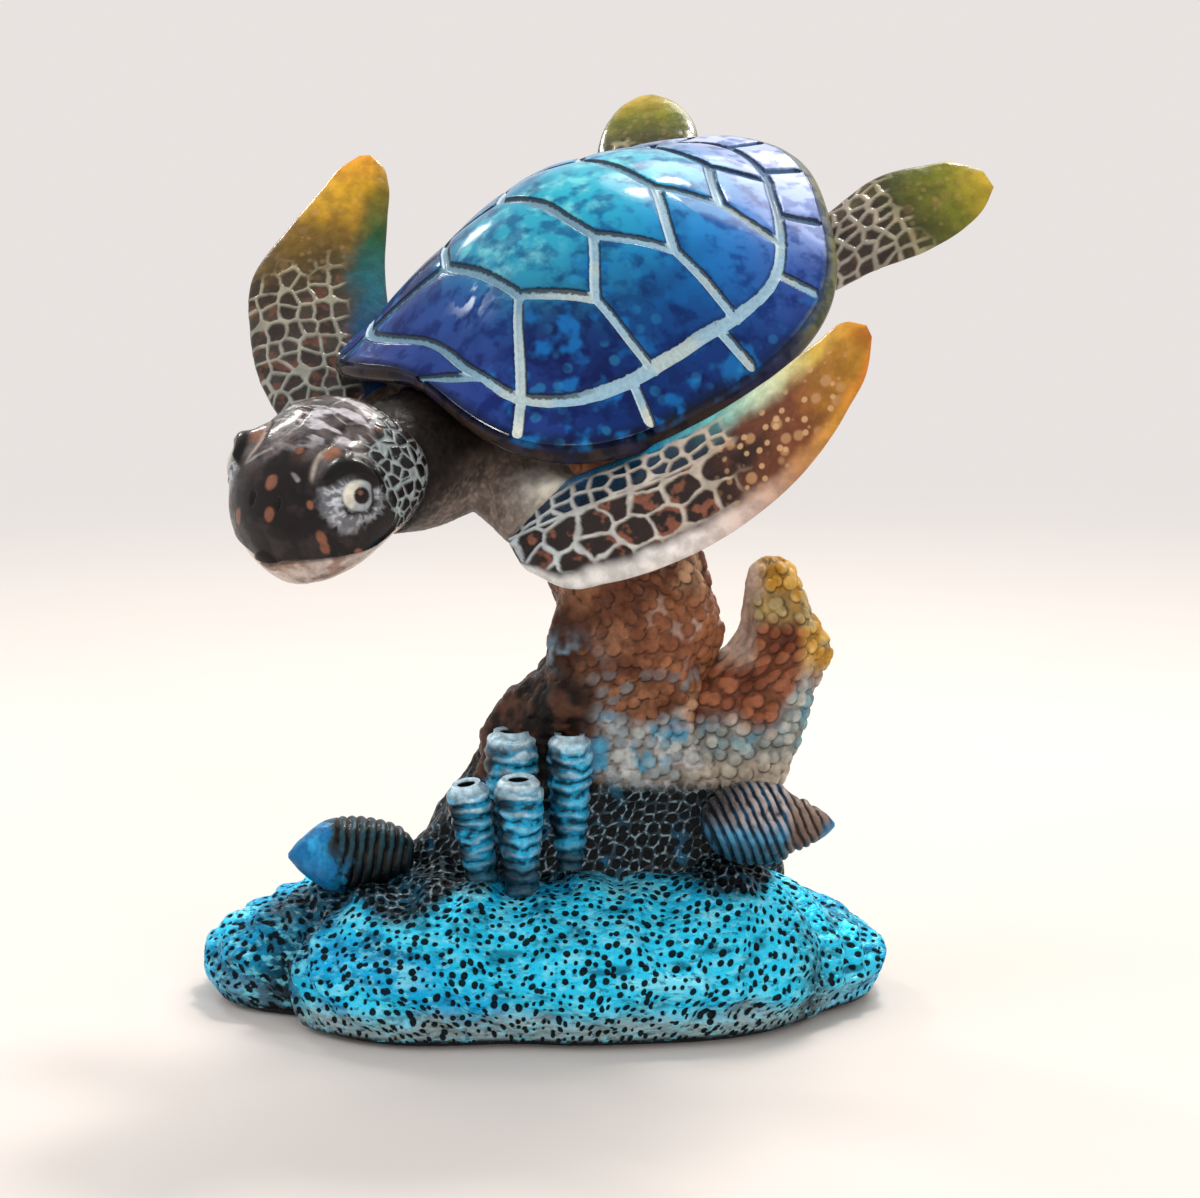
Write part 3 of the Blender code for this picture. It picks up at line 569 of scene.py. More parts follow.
def node(tree, kind, inputs=None, **settings):
    """A node with its settings. An input is a value, or another node's output to link."""
    made = tree.nodes.new("ShaderNode" + kind)
    for key, value in settings.items():
        setattr(made, key, value)
    for key, value in (inputs or {}).items():
        if isinstance(value, bpy.types.NodeSocket):
            tree.links.new(value, made.inputs[key])
        else:
            made.inputs[key].default_value = value
    return made


def mixed(tree, amount, under, top, kind="MIX"):
    """One colour over another by an amount. Each colour is a code, a colour or an output."""
    under, top = (rgba(tint(one)) if isinstance(one, str) else one for one in (under, top))
    inputs = {0: amount, 6: under, 7: top}
    return node(tree, "Mix", inputs, data_type="RGBA", blend_type=kind).outputs[2]


def step_of(tree, value, start, end, low=0.0, high=1.0):
    """An S-shaped step of a value, from low at start to high at end."""
    inputs = {"Value": value, "From Min": start, "From Max": end, "To Min": low, "To Max": high}
    return node(tree, "MapRange", inputs, interpolation_type="SMOOTHSTEP").outputs[0]


def maths(tree, operation, first, second=0.0):
    return node(tree, "Math", {0: first, 1: second}, operation=operation).outputs[0]


def product(tree, first, second):
    return maths(tree, "MULTIPLY", first, second)


def attribute(tree, name, colour=False):
    found = node(tree, "Attribute", attribute_name=name)
    return found.outputs["Color" if colour else "Fac"]


def place(tree, stretch=(1.0, 1.0, 1.0)):
    """Object coordinates, closer together along an axis by its stretch."""
    spot = node(tree, "TexCoord").outputs["Object"]
    return node(tree, "Mapping", {"Vector": spot, "Scale": stretch}).outputs[0]


def grain(tree, at, size, detail=3.0):
    """Noise whose clouds are about the size, in mm."""
    inputs = {"Vector": at, "Scale": 1 / (size * MM), "Detail": detail}
    return node(tree, "TexNoise", inputs).outputs["Fac"]


def spots(tree, at, size, share):
    """Round spots scattered one to a cell of the size in mm; share is how much they fill."""
    inputs = {"Vector": at, "Scale": 1 / (size * MM)}
    away = node(tree, "TexVoronoi", inputs).outputs["Distance"]
    return step_of(tree, away, share, share * 0.6)


def rgba(colour):
    return (*np.asarray(colour, float), 1.0)


def new_material(name):
    made = bpy.data.materials.new(name)
    made.use_nodes = True
    return made, made.node_tree, made.node_tree.nodes["Principled BSDF"]


def shaded(tree, colour, light):
    """A colour made lighter or darker by a number."""
    shade = node(tree, "CombineColor", {0: light, 1: light, 2: light}).outputs[0]
    return mixed(tree, 1.0, colour, shade, "MULTIPLY")


def set_surface(tree, shader, colour, roughness, height, depth, **values):
    """Links a finish's colour, its roughness and the bump of a height that is depth mm high,
    and sets the shader's other values, which are named with underscores for spaces."""
    tree.links.new(colour, shader.inputs["Base Color"])
    tree.links.new(roughness, shader.inputs["Roughness"])
    bump = node(tree, "Bump", {"Height": height, "Distance": depth * MM})
    tree.links.new(bump.outputs[0], shader.inputs["Normal"])
    for name, value in values.items():
        shader.inputs[name.replace("_", " ")].default_value = value


def painted(name, sheen, blotch, bump, coat=0.0, metal=0.0, flecks=()):
    """A painted finish: the piece's own paint, lighter and darker in blotches, with flecks.

    sheen is the least and most roughness; blotch the blotches' size in mm and strength; bump
    the grain's size and height in mm. A fleck is its size in mm, the share it fills, its
    colour and the attribute that says where it is."""
    made, tree, shader = new_material(name)
    at = place(tree)
    blotch_size, strength = blotch
    bump_size, bump_height = bump
    clouds = grain(tree, at, blotch_size)
    fine = grain(tree, at, bump_size, 5.0)
    light = step_of(tree, clouds, 0.3, 0.7, 1 - strength, 1 + strength)
    colour = shaded(tree, attribute(tree, "paint", True), light)
    for fleck, share, code, mask in flecks:
        amount = product(tree, spots(tree, at, fleck, share), attribute(tree, mask))
        colour = mixed(tree, product(tree, amount, FLECK_STRENGTH), colour, code)
    rough = step_of(tree, fine, 0.3, 0.7, *sheen)
    values = {"Coat_Weight": coat, "Coat_Roughness": 0.08, "Metallic": metal}
    set_surface(tree, shader, colour, rough, fine, bump_height, Specular_IOR_Level=SHEEN, **values)
    return made


# Carapace


def outline_swell(angle):
    """What the waves of the carapace's outline add to a circle, as a share of its radius."""
    return sum(size * np.cos(wave * angle) for wave, size in enumerate(OUTLINE_WAVES, start=1))


def carapace_plan(share, angle):
    """Plan of the carapace: a circle swollen by waves about it that fade in towards the rim,
    stretched to its length and width."""

    def heart(at, amount):
        swell = 1.0 + amount * outline_swell(at)
        return swell * np.cos(at), swell * np.sin(at)

    whole_x, whole_y = heart(turn(720), 1.0)
    x, y = heart(angle, share**1.5)
    x = x * share * CARAPACE_LENGTH / np.ptp(whole_x)
    return x, y * share * CARAPACE_WIDTH / np.ptp(whole_y)


def rim_wave(share, angle):
    saddle = RIM_SADDLE * share**2 * np.cos(2 * angle)
    return saddle + RIM_KICK * share**3 * np.cos(3 * angle)


def carapace_top(share, angle):
    return CARAPACE_RISE * (1 - share**2) ** 1.3 + rim_wave(share, angle)


def disc_grid(count):
    """A square grid bent into a disc: a point's share is its larger side, and its angle runs
    evenly along each side of the square."""
    side = np.linspace(-1, 1, count)
    a, b = np.meshgrid(side, side, indexing="ij")
    share = np.maximum(np.abs(a), np.abs(b))
    safe = np.maximum(share, 1e-9)
    wide = np.abs(a) >= np.abs(b)
    angle = np.where(
        wide,
        np.pi / 4 * b / safe * np.sign(a) + np.where(a < 0, np.pi, 0),
        np.pi / 2 * np.sign(b) - np.pi / 4 * a / safe * np.sign(b),
    )
    return share, angle


def border_walk(count):
    """Places of the square grid's border, once round."""
    run = np.arange(count - 1)
    end = count - 1
    rows = np.concatenate([run, np.full(end, end), end - run, np.zeros(end, int)])
    columns = np.concatenate([np.zeros(end, int), run, np.full(end, end), end - run])
    return rows * count + columns


def margin_point(share, degrees):
    """Plan place at a share of the way out to the rim, in a direction."""
    angle = np.radians(degrees)
    reach = share * OUTLINE_RADIUS * (1 + outline_swell(angle))
    return np.array([reach * np.cos(angle), reach * np.sin(angle)])


def margin_share(degrees):
    return 1 - MARGIN_DEPTH * (1 - 0.06 * np.cos(np.radians(degrees)))


def seam_lines():
    """The seams of the carapace as straight pieces. The first list holds those between the
    knots, out to the margin and on across it to near the rim, where the right side mirrors
    the left but for the long spur; the second holds the margin's own line round."""
    lines = []
    for path in SEAM_PATHS:
        ends = [
            SEAM_KNOTS[knot] if knot in SEAM_KNOTS else margin_point(margin_share(knot), knot)
            for knot in path
        ]
        lines += list(zip(ends, ends[1:]))
    for angle in RIM_SEAM_ANGLES:
        lines.append((margin_point(margin_share(angle), angle), margin_point(0.94, angle)))
    mirror = np.array([1, -1])
    lines += [(np.array(a) * mirror, np.array(b) * mirror) for a, b in lines]
    start, end = SPUR_ANGLES
    lines.append((margin_point(margin_share(start), start), margin_point(0.985, end)))
    for knot in CROSS_SEAMS:
        here = np.array(SEAM_KNOTS[knot])
        lines.append((here, here * mirror))
    round_points = [margin_point(margin_share(angle), angle) for angle in range(0, 364, 4)]
    return lines, list(zip(round_points, round_points[1:]))


# Rings of the carapace's lip by their bend in degrees, and those under it by their share
LIP_BENDS = (50, 10, -30, -65)
UNDER_SHARES = (0.955, 0.92, 0.87, 0.8, 0.7, 0.5, 0.25, 0.04)
# Wash of the carapace: how far each colour spreads, and its plan place on the left side. The pale
# lavender and near-white at the rear are partly painted reflection of the light.
WASH_SPREAD = 6.5
CARAPACE_WASH_AND_REFLECTION = (
    ((27, 3), "2b3a78"), ((20, 1), "264786"), ((8, 0), "2c94a8"), ((7, 6), "2a90aa"),
    ((-3, 0), "229fb2"), ((-5, 5), "2aa6ba"), ((-15, 0), "4cb4c6"), ((-14, 5), "5cb4cc"),
    ((-24, 0), "6c7cba"), ((14, 15), "0d1a54"), ((3, 19), "053274"), ((1, 11), "1f7fa8"),
    ((-8, 18), "1068ac"), ((-10, 11), "1f88c2"), ((-17, 14), "3f74bc"), ((24, 14), "1d3576"),
    ((14, 25), "072862"), ((0, 29), "082560"), ((-13, 26), "2f4488"), ((-24, 17), "9fb0de"),
    ((-31, 5), "bcc8ea"),
)


def carapace_below(inner, edge):
    """Rings round the carapace's lip and under it, in the directions of its grid's border."""
    lip = CARAPACE_RIM / 2
    rings = []
    for bend in np.radians(LIP_BENDS):
        share = inner + (1 - inner) * np.cos(bend)
        x, y = carapace_plan(share, edge)
        rings.append(np.stack([x, y, rim_wave(share, edge) - lip + lip * np.sin(bend)], axis=1))
    for share in UNDER_SHARES:
        x, y = carapace_plan(share, edge)
        rings.append(np.stack([x, y, rim_wave(share, edge) - CARAPACE_RIM], axis=1))
    return rings


def carapace_faces(count, walk, rings):
    """Faces of the square grid, of the rings that hang from its border, and of the fan round
    the last point, which closes them."""
    row, column = np.meshgrid(np.arange(count - 1), np.arange(count - 1), indexing="ij")
    first = (row * count + column).ravel()
    quads = [np.stack([first, first + count, first + count + 1, first + 1], axis=1)]
    around = len(walk)
    step = np.arange(around)
    after = (step + 1) % around
    ring_at = walk
    for ring in range(rings):
        next_at = count * count + ring * around + step
        quads.append(np.stack([ring_at, ring_at[after], next_at[after], next_at], axis=1))
        ring_at = next_at
    hub = np.full(around, count * count + rings * around)
    return np.concatenate(quads), np.stack([ring_at, ring_at[after], hub], axis=1)


def carapace_mesh(seam_width, seam_depth):
    """The carapace: a domed disc of a fine square grid, then rings round its lip and under it.
    Seams are grooves by the distance to the seam lines; each scute swells between them."""
    count = CARAPACE_GRID
    inner = 1 - CARAPACE_RIM / 2 / OUTLINE_RADIUS
    share, angle = disc_grid(count)
    share, angle = (share * inner).ravel(), angle.ravel()
    x, y = carapace_plan(share, angle)
    top = carapace_top(share, angle)
    walk = border_walk(count)
    below = carapace_below(inner, angle[walk])
    flat = np.stack([x, y], axis=1)
    sway = np.stack([noise(flat, 5.0, 3), noise(flat, 5.0, 4)], axis=1) - 0.5
    across, margin = seam_lines()
    width = seam_width / 2 * (0.92 + 0.16 * noise(flat, 4.0, 5))
    spur_end = margin_point(0.985, SPUR_ANGLES[1])
    width = width * (1 - 0.5 * bell(np.linalg.norm(flat - spur_end, axis=1), 4.0))

    def seam_at(places):
        places = places + sway * 0.5
        return np.minimum(to_lines(places, across), to_lines(places, margin) * 1.12)

    seam = seam_at(flat)
    step_back = 0.3
    behind = (seam_at(flat - (step_back, 0.0)) - seam) / step_back
    groove = 1 - ease(width * 0.55, width * 1.25, seam)
    swell = SCUTE_SWELL * (1 - np.exp(-seam / SCUTE_SWELL_REACH))
    ripple = SCUTE_RIPPLE * (cloudy(flat, 6.0, 6) - 0.5)
    top = top + (swell + ripple) * ease(1.0, 0.93, share) - seam_depth * groove
    middle = below[-1].mean(0)[None]
    points = np.concatenate([np.stack([x, y, top], axis=1), *below, middle])
    faces = carapace_faces(count, walk, len(below))
    mesh = mesh_of("turtle_carapace", swimming(points), *faces)

    extra = len(points) - len(flat)
    side = np.abs(y)
    sites = [((a, b), code) for (a, b), code in CARAPACE_WASH_AND_REFLECTION]
    sites += [((a, -b), code) for (a, b), code in CARAPACE_WASH_AND_REFLECTION if b]
    wash_and_painted_light = washed(flat, sites, WASH_SPREAD)
    gold = ease(0.955, 0.968, share) * ease(-2, -14, x)
    # A white patch on the front of the carapace is a painted reflection of the light, broken into
    # flakes by noise; the near-black band just inside the rim at the front and sides is painted shade
    glint_breakup = cloudy(flat * (1, 1.6), 1.6, 9) - 0.1
    white_glint = bell(np.hypot(x - 17, y - 2), 2.2) * ease(0.34, 0.46, glint_breakup)
    wash_and_painted_light = coats(
        wash_and_painted_light,
        ("0b1624", ease(0.92, 0.968, share) * ease(-20, 0, x) * 0.85),
        ("7f8a6c", gold * 0.5),
        ("ccd4e6", white_glint * 0.85),
    )
    rim = over("30251f", "6f6c4a", ease(-2, -14, x[walk]))
    under = np.tile(rim, (len(below) + 1, 1))[:extra]
    keep(mesh, "paint", np.concatenate([wash_and_painted_light, under]))
    pool = cloudy(flat, 5.0, 8)
    line = coats(
        "93b3c4",
        ("b3bdb6", ease(0.45, 0.6, pool) * 0.7),
        ("d6d8c8", ease(0.87, 0.93, share) * ease(0, 6, x) * 0.8),
        ("6e8fa0", ease(13, 5, y)),
        ("2c4f78", ease(-14, -24, x) * 0.85),
    )
    keep(mesh, "seam_paint", np.concatenate([line, under]))
    royal = ease(-8, 12, x) * ease(7, 12, side) + 0.7 * ease(22, 26, side) * ease(-20, -8, x)
    aqua = ease(10, 4, side) * ease(-26, -16, x) * ease(18, 10, x)
    kept = {
        "behind": (0.5 + 0.5 * np.clip(behind, -1, 1), 0.5),
        "seam": (seam / width, 9.0),
        "droplets": (np.clip(royal, 0, 1), 0.0),
        "aqua": (aqua, 0.0),
    }
    for key, (values, elsewhere) in kept.items():
        keep(mesh, key, np.concatenate([values, np.full(extra, elsewhere)]))
    return mesh


def carapace_finish(gloss):
    """Glazed paint: the washes of colour, cloudy blotches, azure droplets in the royal scutes,
    aqua and white clouds along the back, and pale paint rubbed into the seams with dark lips,
    partly dark paint and partly painted shade, with a painted highlight along one side of each
    seam and a painted shadow along the other."""
    made, tree, shader = new_material("glazed_carapace")
    at = place(tree)
    paint = attribute(tree, "paint", True)
    seam = attribute(tree, "seam")
    broad = grain(tree, at, 7.0, 2.0)
    colour = mixed(tree, step_of(tree, broad, 0.5, 0.75, 0.0, 0.4), paint, "0a2a66")
    splash = step_of(tree, grain(tree, at, 3.2, 3.0), 0.46, 0.68)
    aqua = product(tree, attribute(tree, "aqua"), splash)
    colour = mixed(tree, product(tree, aqua, 0.55), colour, "86d6d4")
    deep = step_of(tree, grain(tree, at, 2.6, 4.0), 0.46, 0.64, 0.0, 0.75)
    colour = mixed(tree, deep, colour, mixed(tree, 1.0, colour, "5a80b4", "MULTIPLY"))
    royal = attribute(tree, "droplets")
    mottle = step_of(tree, grain(tree, at, 3.2, 2.5), 0.5, 0.66)
    drops = product(tree, royal, mottle)
    colour = mixed(tree, product(tree, drops, 0.8), colour, "0f64a6")
    small = product(tree, spots(tree, at, 2.4, 0.36), step_of(tree, broad, 0.42, 0.6))
    small = product(tree, royal, small)
    colour = mixed(tree, product(tree, small, 0.28), colour, "2f95c8")
    dark = product(tree, royal, step_of(tree, grain(tree, at, 2.4, 5.0), 0.48, 0.36))
    colour = mixed(tree, product(tree, dark, 0.6), colour, "081a4c")
    # Dark lips just outside each seam: partly dark paint, partly painted shade
    edge = step_of(tree, seam, 1.6, 1.1, 0.0, 0.45)
    colour = mixed(tree, edge, colour, "0c1c40")
    fray = grain(tree, at, 0.5, 4.0)
    ragged = step_of(tree, fray, 0.3, 0.7, -0.12, 0.12)
    rough_seam = maths(tree, "ADD", seam, product(tree, ragged, 0.4))
    line = step_of(tree, rough_seam, 1.08, 0.96)
    streak = step_of(tree, fray, 0.35, 0.65, 0.88, 1.06)
    seam_colour_and_highlight = shaded(tree, attribute(tree, "seam_paint", True), streak)
    # A pale band along one side of each seam is a painted highlight, and a dark line along the other
    # side is a painted shadow in the groove
    behind = attribute(tree, "behind")
    lit = product(tree, step_of(tree, behind, 0.35, 0.1), step_of(tree, seam, 0.4, 0.8))
    seam_colour_and_highlight = mixed(tree, product(tree, lit, 0.6), seam_colour_and_highlight, "d3e6ee")
    colour = mixed(tree, line, colour, seam_colour_and_highlight)
    wavering = maths(tree, "ADD", seam, ragged)
    groove_shadow = product(tree, step_of(tree, wavering, 1.35, 1.15), step_of(tree, wavering, 0.55, 0.8))
    groove_shadow = product(tree, groove_shadow, step_of(tree, behind, 0.6, 0.85, 0.0, 0.85))
    colour = mixed(tree, groove_shadow, colour, "141a28")
    matt = step_of(tree, line, 0.0, 1.0, gloss, 0.5)
    glaze = {"Specular_IOR_Level": 0.05, "Coat_Weight": 0.16, "Coat_Roughness": 0.1}
    set_surface(tree, shader, colour, matt, grain(tree, at, 0.9, 4.0), 0.03, **glaze)
    return made


# Body


def limb_rings(points, radii, around):
    """A round limb along a smooth path through key points, with radii across and up."""
    points, radii = np.asarray(points, float), np.asarray(radii, float)
    keys = np.arange(len(points))
    at = np.linspace(0, len(points) - 1, LIMB_ROWS)
    path = np.stack([smooth(keys, points[:, axis], at) for axis in range(3)], axis=1)
    wide = smooth(keys, radii[:, 0], at)[:, None, None]
    high = smooth(keys, radii[:, 1], at)[:, None, None]
    ahead = np.gradient(path, axis=0)
    ahead /= np.linalg.norm(ahead, axis=1)[:, None]
    side = np.cross((0.0, 0.0, 1.0), ahead)
    side /= np.linalg.norm(side, axis=1)[:, None]
    up = np.cross(ahead, side)
    angle = turn(around)[None, :, None]
    return (
        path[:, None] + wide * np.cos(angle) * side[:, None] + high * np.sin(angle) * up[:, None]
    )


def torso_rings(around):
    """The torso: flat under the carapace, round over its edge, and a belly that deepens."""
    angle = turn(around)

    def ring(share, height):
        x, y = carapace_plan(share, angle)
        return np.stack([x, y, height], axis=1)

    rings = []
    for share in np.linspace(0.05, BODY_SHARE, TORSO_TOP_ROWS):
        rings.append(ring(share, rim_wave(share, angle) - CARAPACE_RIM - GLUE_GAP))
    edge = BODY_SHARE + 0.02
    rings.append(
        ring(edge, rim_wave(edge, angle) - CARAPACE_RIM - GLUE_GAP - BODY_EDGE * 0.6)
    )
    for share in np.linspace(0.99, 0.05, TORSO_BELLY_ROWS):
        belly = BODY_DEPTH * (1 - share**2.2) ** 0.8
        height = rim_wave(BODY_SHARE * share, angle) * 0.6 - CARAPACE_RIM - GLUE_GAP - BODY_EDGE
        rings.append(ring(BODY_SHARE * share, height - belly))
    return np.array(rings)


def flipper_root(sizes):
    along, aside, height = sizes["root"]
    return np.array([along * CARAPACE_LENGTH / 2, aside * CARAPACE_WIDTH / 2, height])


def body_shells():
    """The torso, neck, shoulders and tail, each a closed skin of rings."""
    middle = np.array(HEAD_MIDDLE)
    end = middle + np.array((-0.32 * HEAD_LENGTH, 0.0, -0.18 * (HEAD_TOP + HEAD_CHIN)))
    chest = np.array((0.37 * CARAPACE_LENGTH / 2, 0.0, -CHEST_DROP))
    sag = np.array((0.0, 0.0, NECK_SAG))
    neck_path = [chest, chest * 0.6 + end * 0.4 - sag, chest * 0.27 + end * 0.73 - sag, end]
    neck_radii = [
        (CHEST_RADIUS, NECK_RADIUS * 0.55),
        (CHEST_RADIUS * 0.95, NECK_RADIUS * 0.85),
        (NECK_RADIUS * 1.08, NECK_RADIUS * 0.97),
        (NECK_RADIUS * 0.95, NECK_RADIUS * 0.9),
    ]
    left = flipper_root(FLIPPERS["front_flipper_left"])
    right = flipper_root(FLIPPERS["front_flipper_right"])
    middle_shift = np.array((-SHOULDER_BACK, 0.0, SHOULDER_RISE))
    shoulder_path = [left, (left + right) / 2 + middle_shift, right]
    shoulder_radii = [
        (SHOULDER_REACH, SHOULDER_HEIGHT),
        (SHOULDER_REACH * 1.2, SHOULDER_HEIGHT),
        (SHOULDER_REACH, SHOULDER_HEIGHT),
    ]
    root = CARAPACE_LENGTH / 2 - TAIL_OVERLAP
    tip = root + TAIL_LENGTH
    tail_path = [
        (-root, 0, -TAIL_DROP),
        (-(root + tip) / 2, 0, -TAIL_DROP - 0.3 * TAIL_DROOP),
        (-tip, 0, -TAIL_DROP - TAIL_DROOP),
    ]
    tail_radii = [
        (TAIL_RADIUS, TAIL_RADIUS * 0.8),
        (TAIL_RADIUS * 0.6, TAIL_RADIUS * 0.5),
        (TAIL_RADIUS * 0.17, TAIL_RADIUS * 0.14),
    ]
    return [
        torso_rings(TORSO_AROUND),
        limb_rings(neck_path, neck_radii, NECK_AROUND),
        limb_rings(shoulder_path, shoulder_radii, SHOULDER_AROUND),
        limb_rings(tail_path, tail_radii, TAIL_AROUND),
    ]


def merged_points(shells, voxel):
    """One even skin round several closed ones: they are filled with voxels, skinned and
    relaxed. Gives its points, normals and four-cornered faces, in mm."""
    from_shells = [ring_mesh("shell", rings) for rings in shells]
    collection = bpy.context.scene.collection
    parts = [bpy.data.objects.new("shell", mesh) for mesh in from_shells]
    base = parts[0]
    collection.objects.link(base)
    for part in parts[1:]:
        collection.objects.link(part)
        joined = base.modifiers.new("join", "BOOLEAN")
        joined.operation = "UNION"
        joined.object = part
    skin = base.modifiers.new("skin", "REMESH")
    skin.mode = "VOXEL"
    skin.voxel_size = voxel * MM
    relax = base.modifiers.new("relax", "SMOOTH")
    relax.factor = 0.5
    relax.iterations = BODY_RELAX
    graph = bpy.context.evaluated_depsgraph_get()
    mesh = bpy.data.meshes.new_from_object(base.evaluated_get(graph))
    points = np.empty(len(mesh.vertices) * 3, np.float32)
    mesh.vertices.foreach_get("co", points)
    normals = np.empty_like(points)
    mesh.vertex_normals.foreach_get("vector", normals)
    corners = np.empty(len(mesh.loops), np.int32)
    mesh.loops.foreach_get("vertex_index", corners)
    for part in parts:
        bpy.data.objects.remove(part)
    for used in (*from_shells, mesh):
        bpy.data.meshes.remove(used)
    points = points.reshape(-1, 3).astype(float) / MM
    return points, normals.reshape(-1, 3).astype(float), corners.reshape(-1, 4)


def body_mesh(wrinkle):
    """The body's skin: pebbled all over, wrinkled in rings round the neck, grooved into plates
    on the belly."""
    points, normals, quads = merged_points(body_shells(), BODY_VOXEL)
    x, y, z = points.T
    round_neck = x + 0.35 * np.abs(y) + 0.25 * z
    folds = np.cos(2 * np.pi * round_neck / FOLD_PITCH + 5 * noise(points, 6.0, 21))
    neck = ease(24, 30, x)
    crossing = np.abs((x + 3) % BELLY_PLATE - BELLY_PLATE / 2)
    plates = np.minimum(crossing, np.abs(y) + 0.4 * noise(points, 3.0, 25))
    belly = ease(-9.5, -12.5, z) * ease(27, 20, x)
    away, _, lot = cells(points, PEBBLE_SIZE, 22)
    far_side = ease(0, -8, y + 0.4 * (x - 30))
    pebbles = PEBBLE_HEIGHT * ease(0.4, 0.1, away)
    push = wrinkle * folds * neck * far_side + pebbles * (1 - belly)
    push = push + BODY_UNEVENNESS * (cloudy(points, 5.0, 23) - 0.5) * (1 - belly)
    push = push - BELLY_GROOVE * ease(0.7, 0.25, plates) * belly
    points = points + normals * push[:, None]
    mesh = mesh_of("turtle_skin", swimming(points), quads, np.zeros((0, 3), int))

    dirt = cloudy(points, 3.0, 24)
    low = ease(-3.5, -10.0, z) * ease(20, 26, x)
    speck = ease(0.34, 0.2, away) * ease(0.25, 0.6, lot)
    cream = over("b3a68d", "8a7c66", dirt)
    cream = over(cream, "4a4036", ease(0.8, 0.3, plates))
    tail = ease(-29, -33, x)
    paint = coats(
        "2a1f1a",
        ("4c3b32", ease(0.4, 0.62, dirt)),
        ("93877e", speck * (0.15 + 0.5 * low)),
        ("857971", low * 0.45),
        # Near-black under the carapace's rim and where the neck meets the head: painted shade
        ("0f0c0b", ease(-6.0, -1.5, z + 0.15 * (x - 28)) * ease(18, 27, x) * 0.93),
        ("0f0c0b", ease(33, 38, x + 0.3 * z) * 0.8),
        # Darker in the troughs of the neck's folds: painted shade
        ("17130f", ease(0.1, -0.7, folds) * neck * far_side * 0.6),
        ("cfc8ba", bell(np.hypot(x - 25.0, y - 18.5), 3.4) * ease(-1.5, -3, z) * 0.95),
        (cream, belly),
        ("7d7430", tail * 0.8),
    )
    keep(mesh, "paint", paint)
    return mesh


# Head


def head_rings():
    """Skull rings from the neck to the beak, rounded shut at the beak."""
    t = np.linspace(0, 1, HEAD_ROWS)
    table = np.array(HEAD_STATIONS)
    station = -0.47 + 0.97 * (1 - (1 - t) ** 1.5)
    half, high, low = [smooth(table[:, 0], table[:, column], station) for column in (1, 2, 3)]
    angle = turn(HEAD_AROUND)
    over_eye = bell(np.abs(angle - np.pi / 2) - 0.87, 0.35)
    brow = BROW_BULGE * over_eye * bell(station - 0.1, 0.12)[:, None]
    x = np.repeat((station * HEAD_LENGTH)[:, None], HEAD_AROUND, axis=1)
    y = ((half * HEAD_WIDTH)[:, None] + brow) * np.cos(angle)
    top, chin = high * HEAD_TOP, low * HEAD_CHIN
    z = ((top - chin) / 2)[:, None] + (((top + chin) / 2)[:, None] + brow) * np.sin(angle)
    rings = np.stack([x, y, z], axis=2)
    hub = rings[-1].mean(0)
    shrink = np.cos(np.linspace(0, np.pi / 2, NOSE_ROWS + 1)[1:] * 0.97)[:, None, None]
    nose = hub + (rings[-1] - hub) * shrink
    nose[:, :, 0] += BEAK_BULGE * np.sqrt(1 - shrink[:, :, 0] ** 2)
    return np.concatenate([rings, nose])


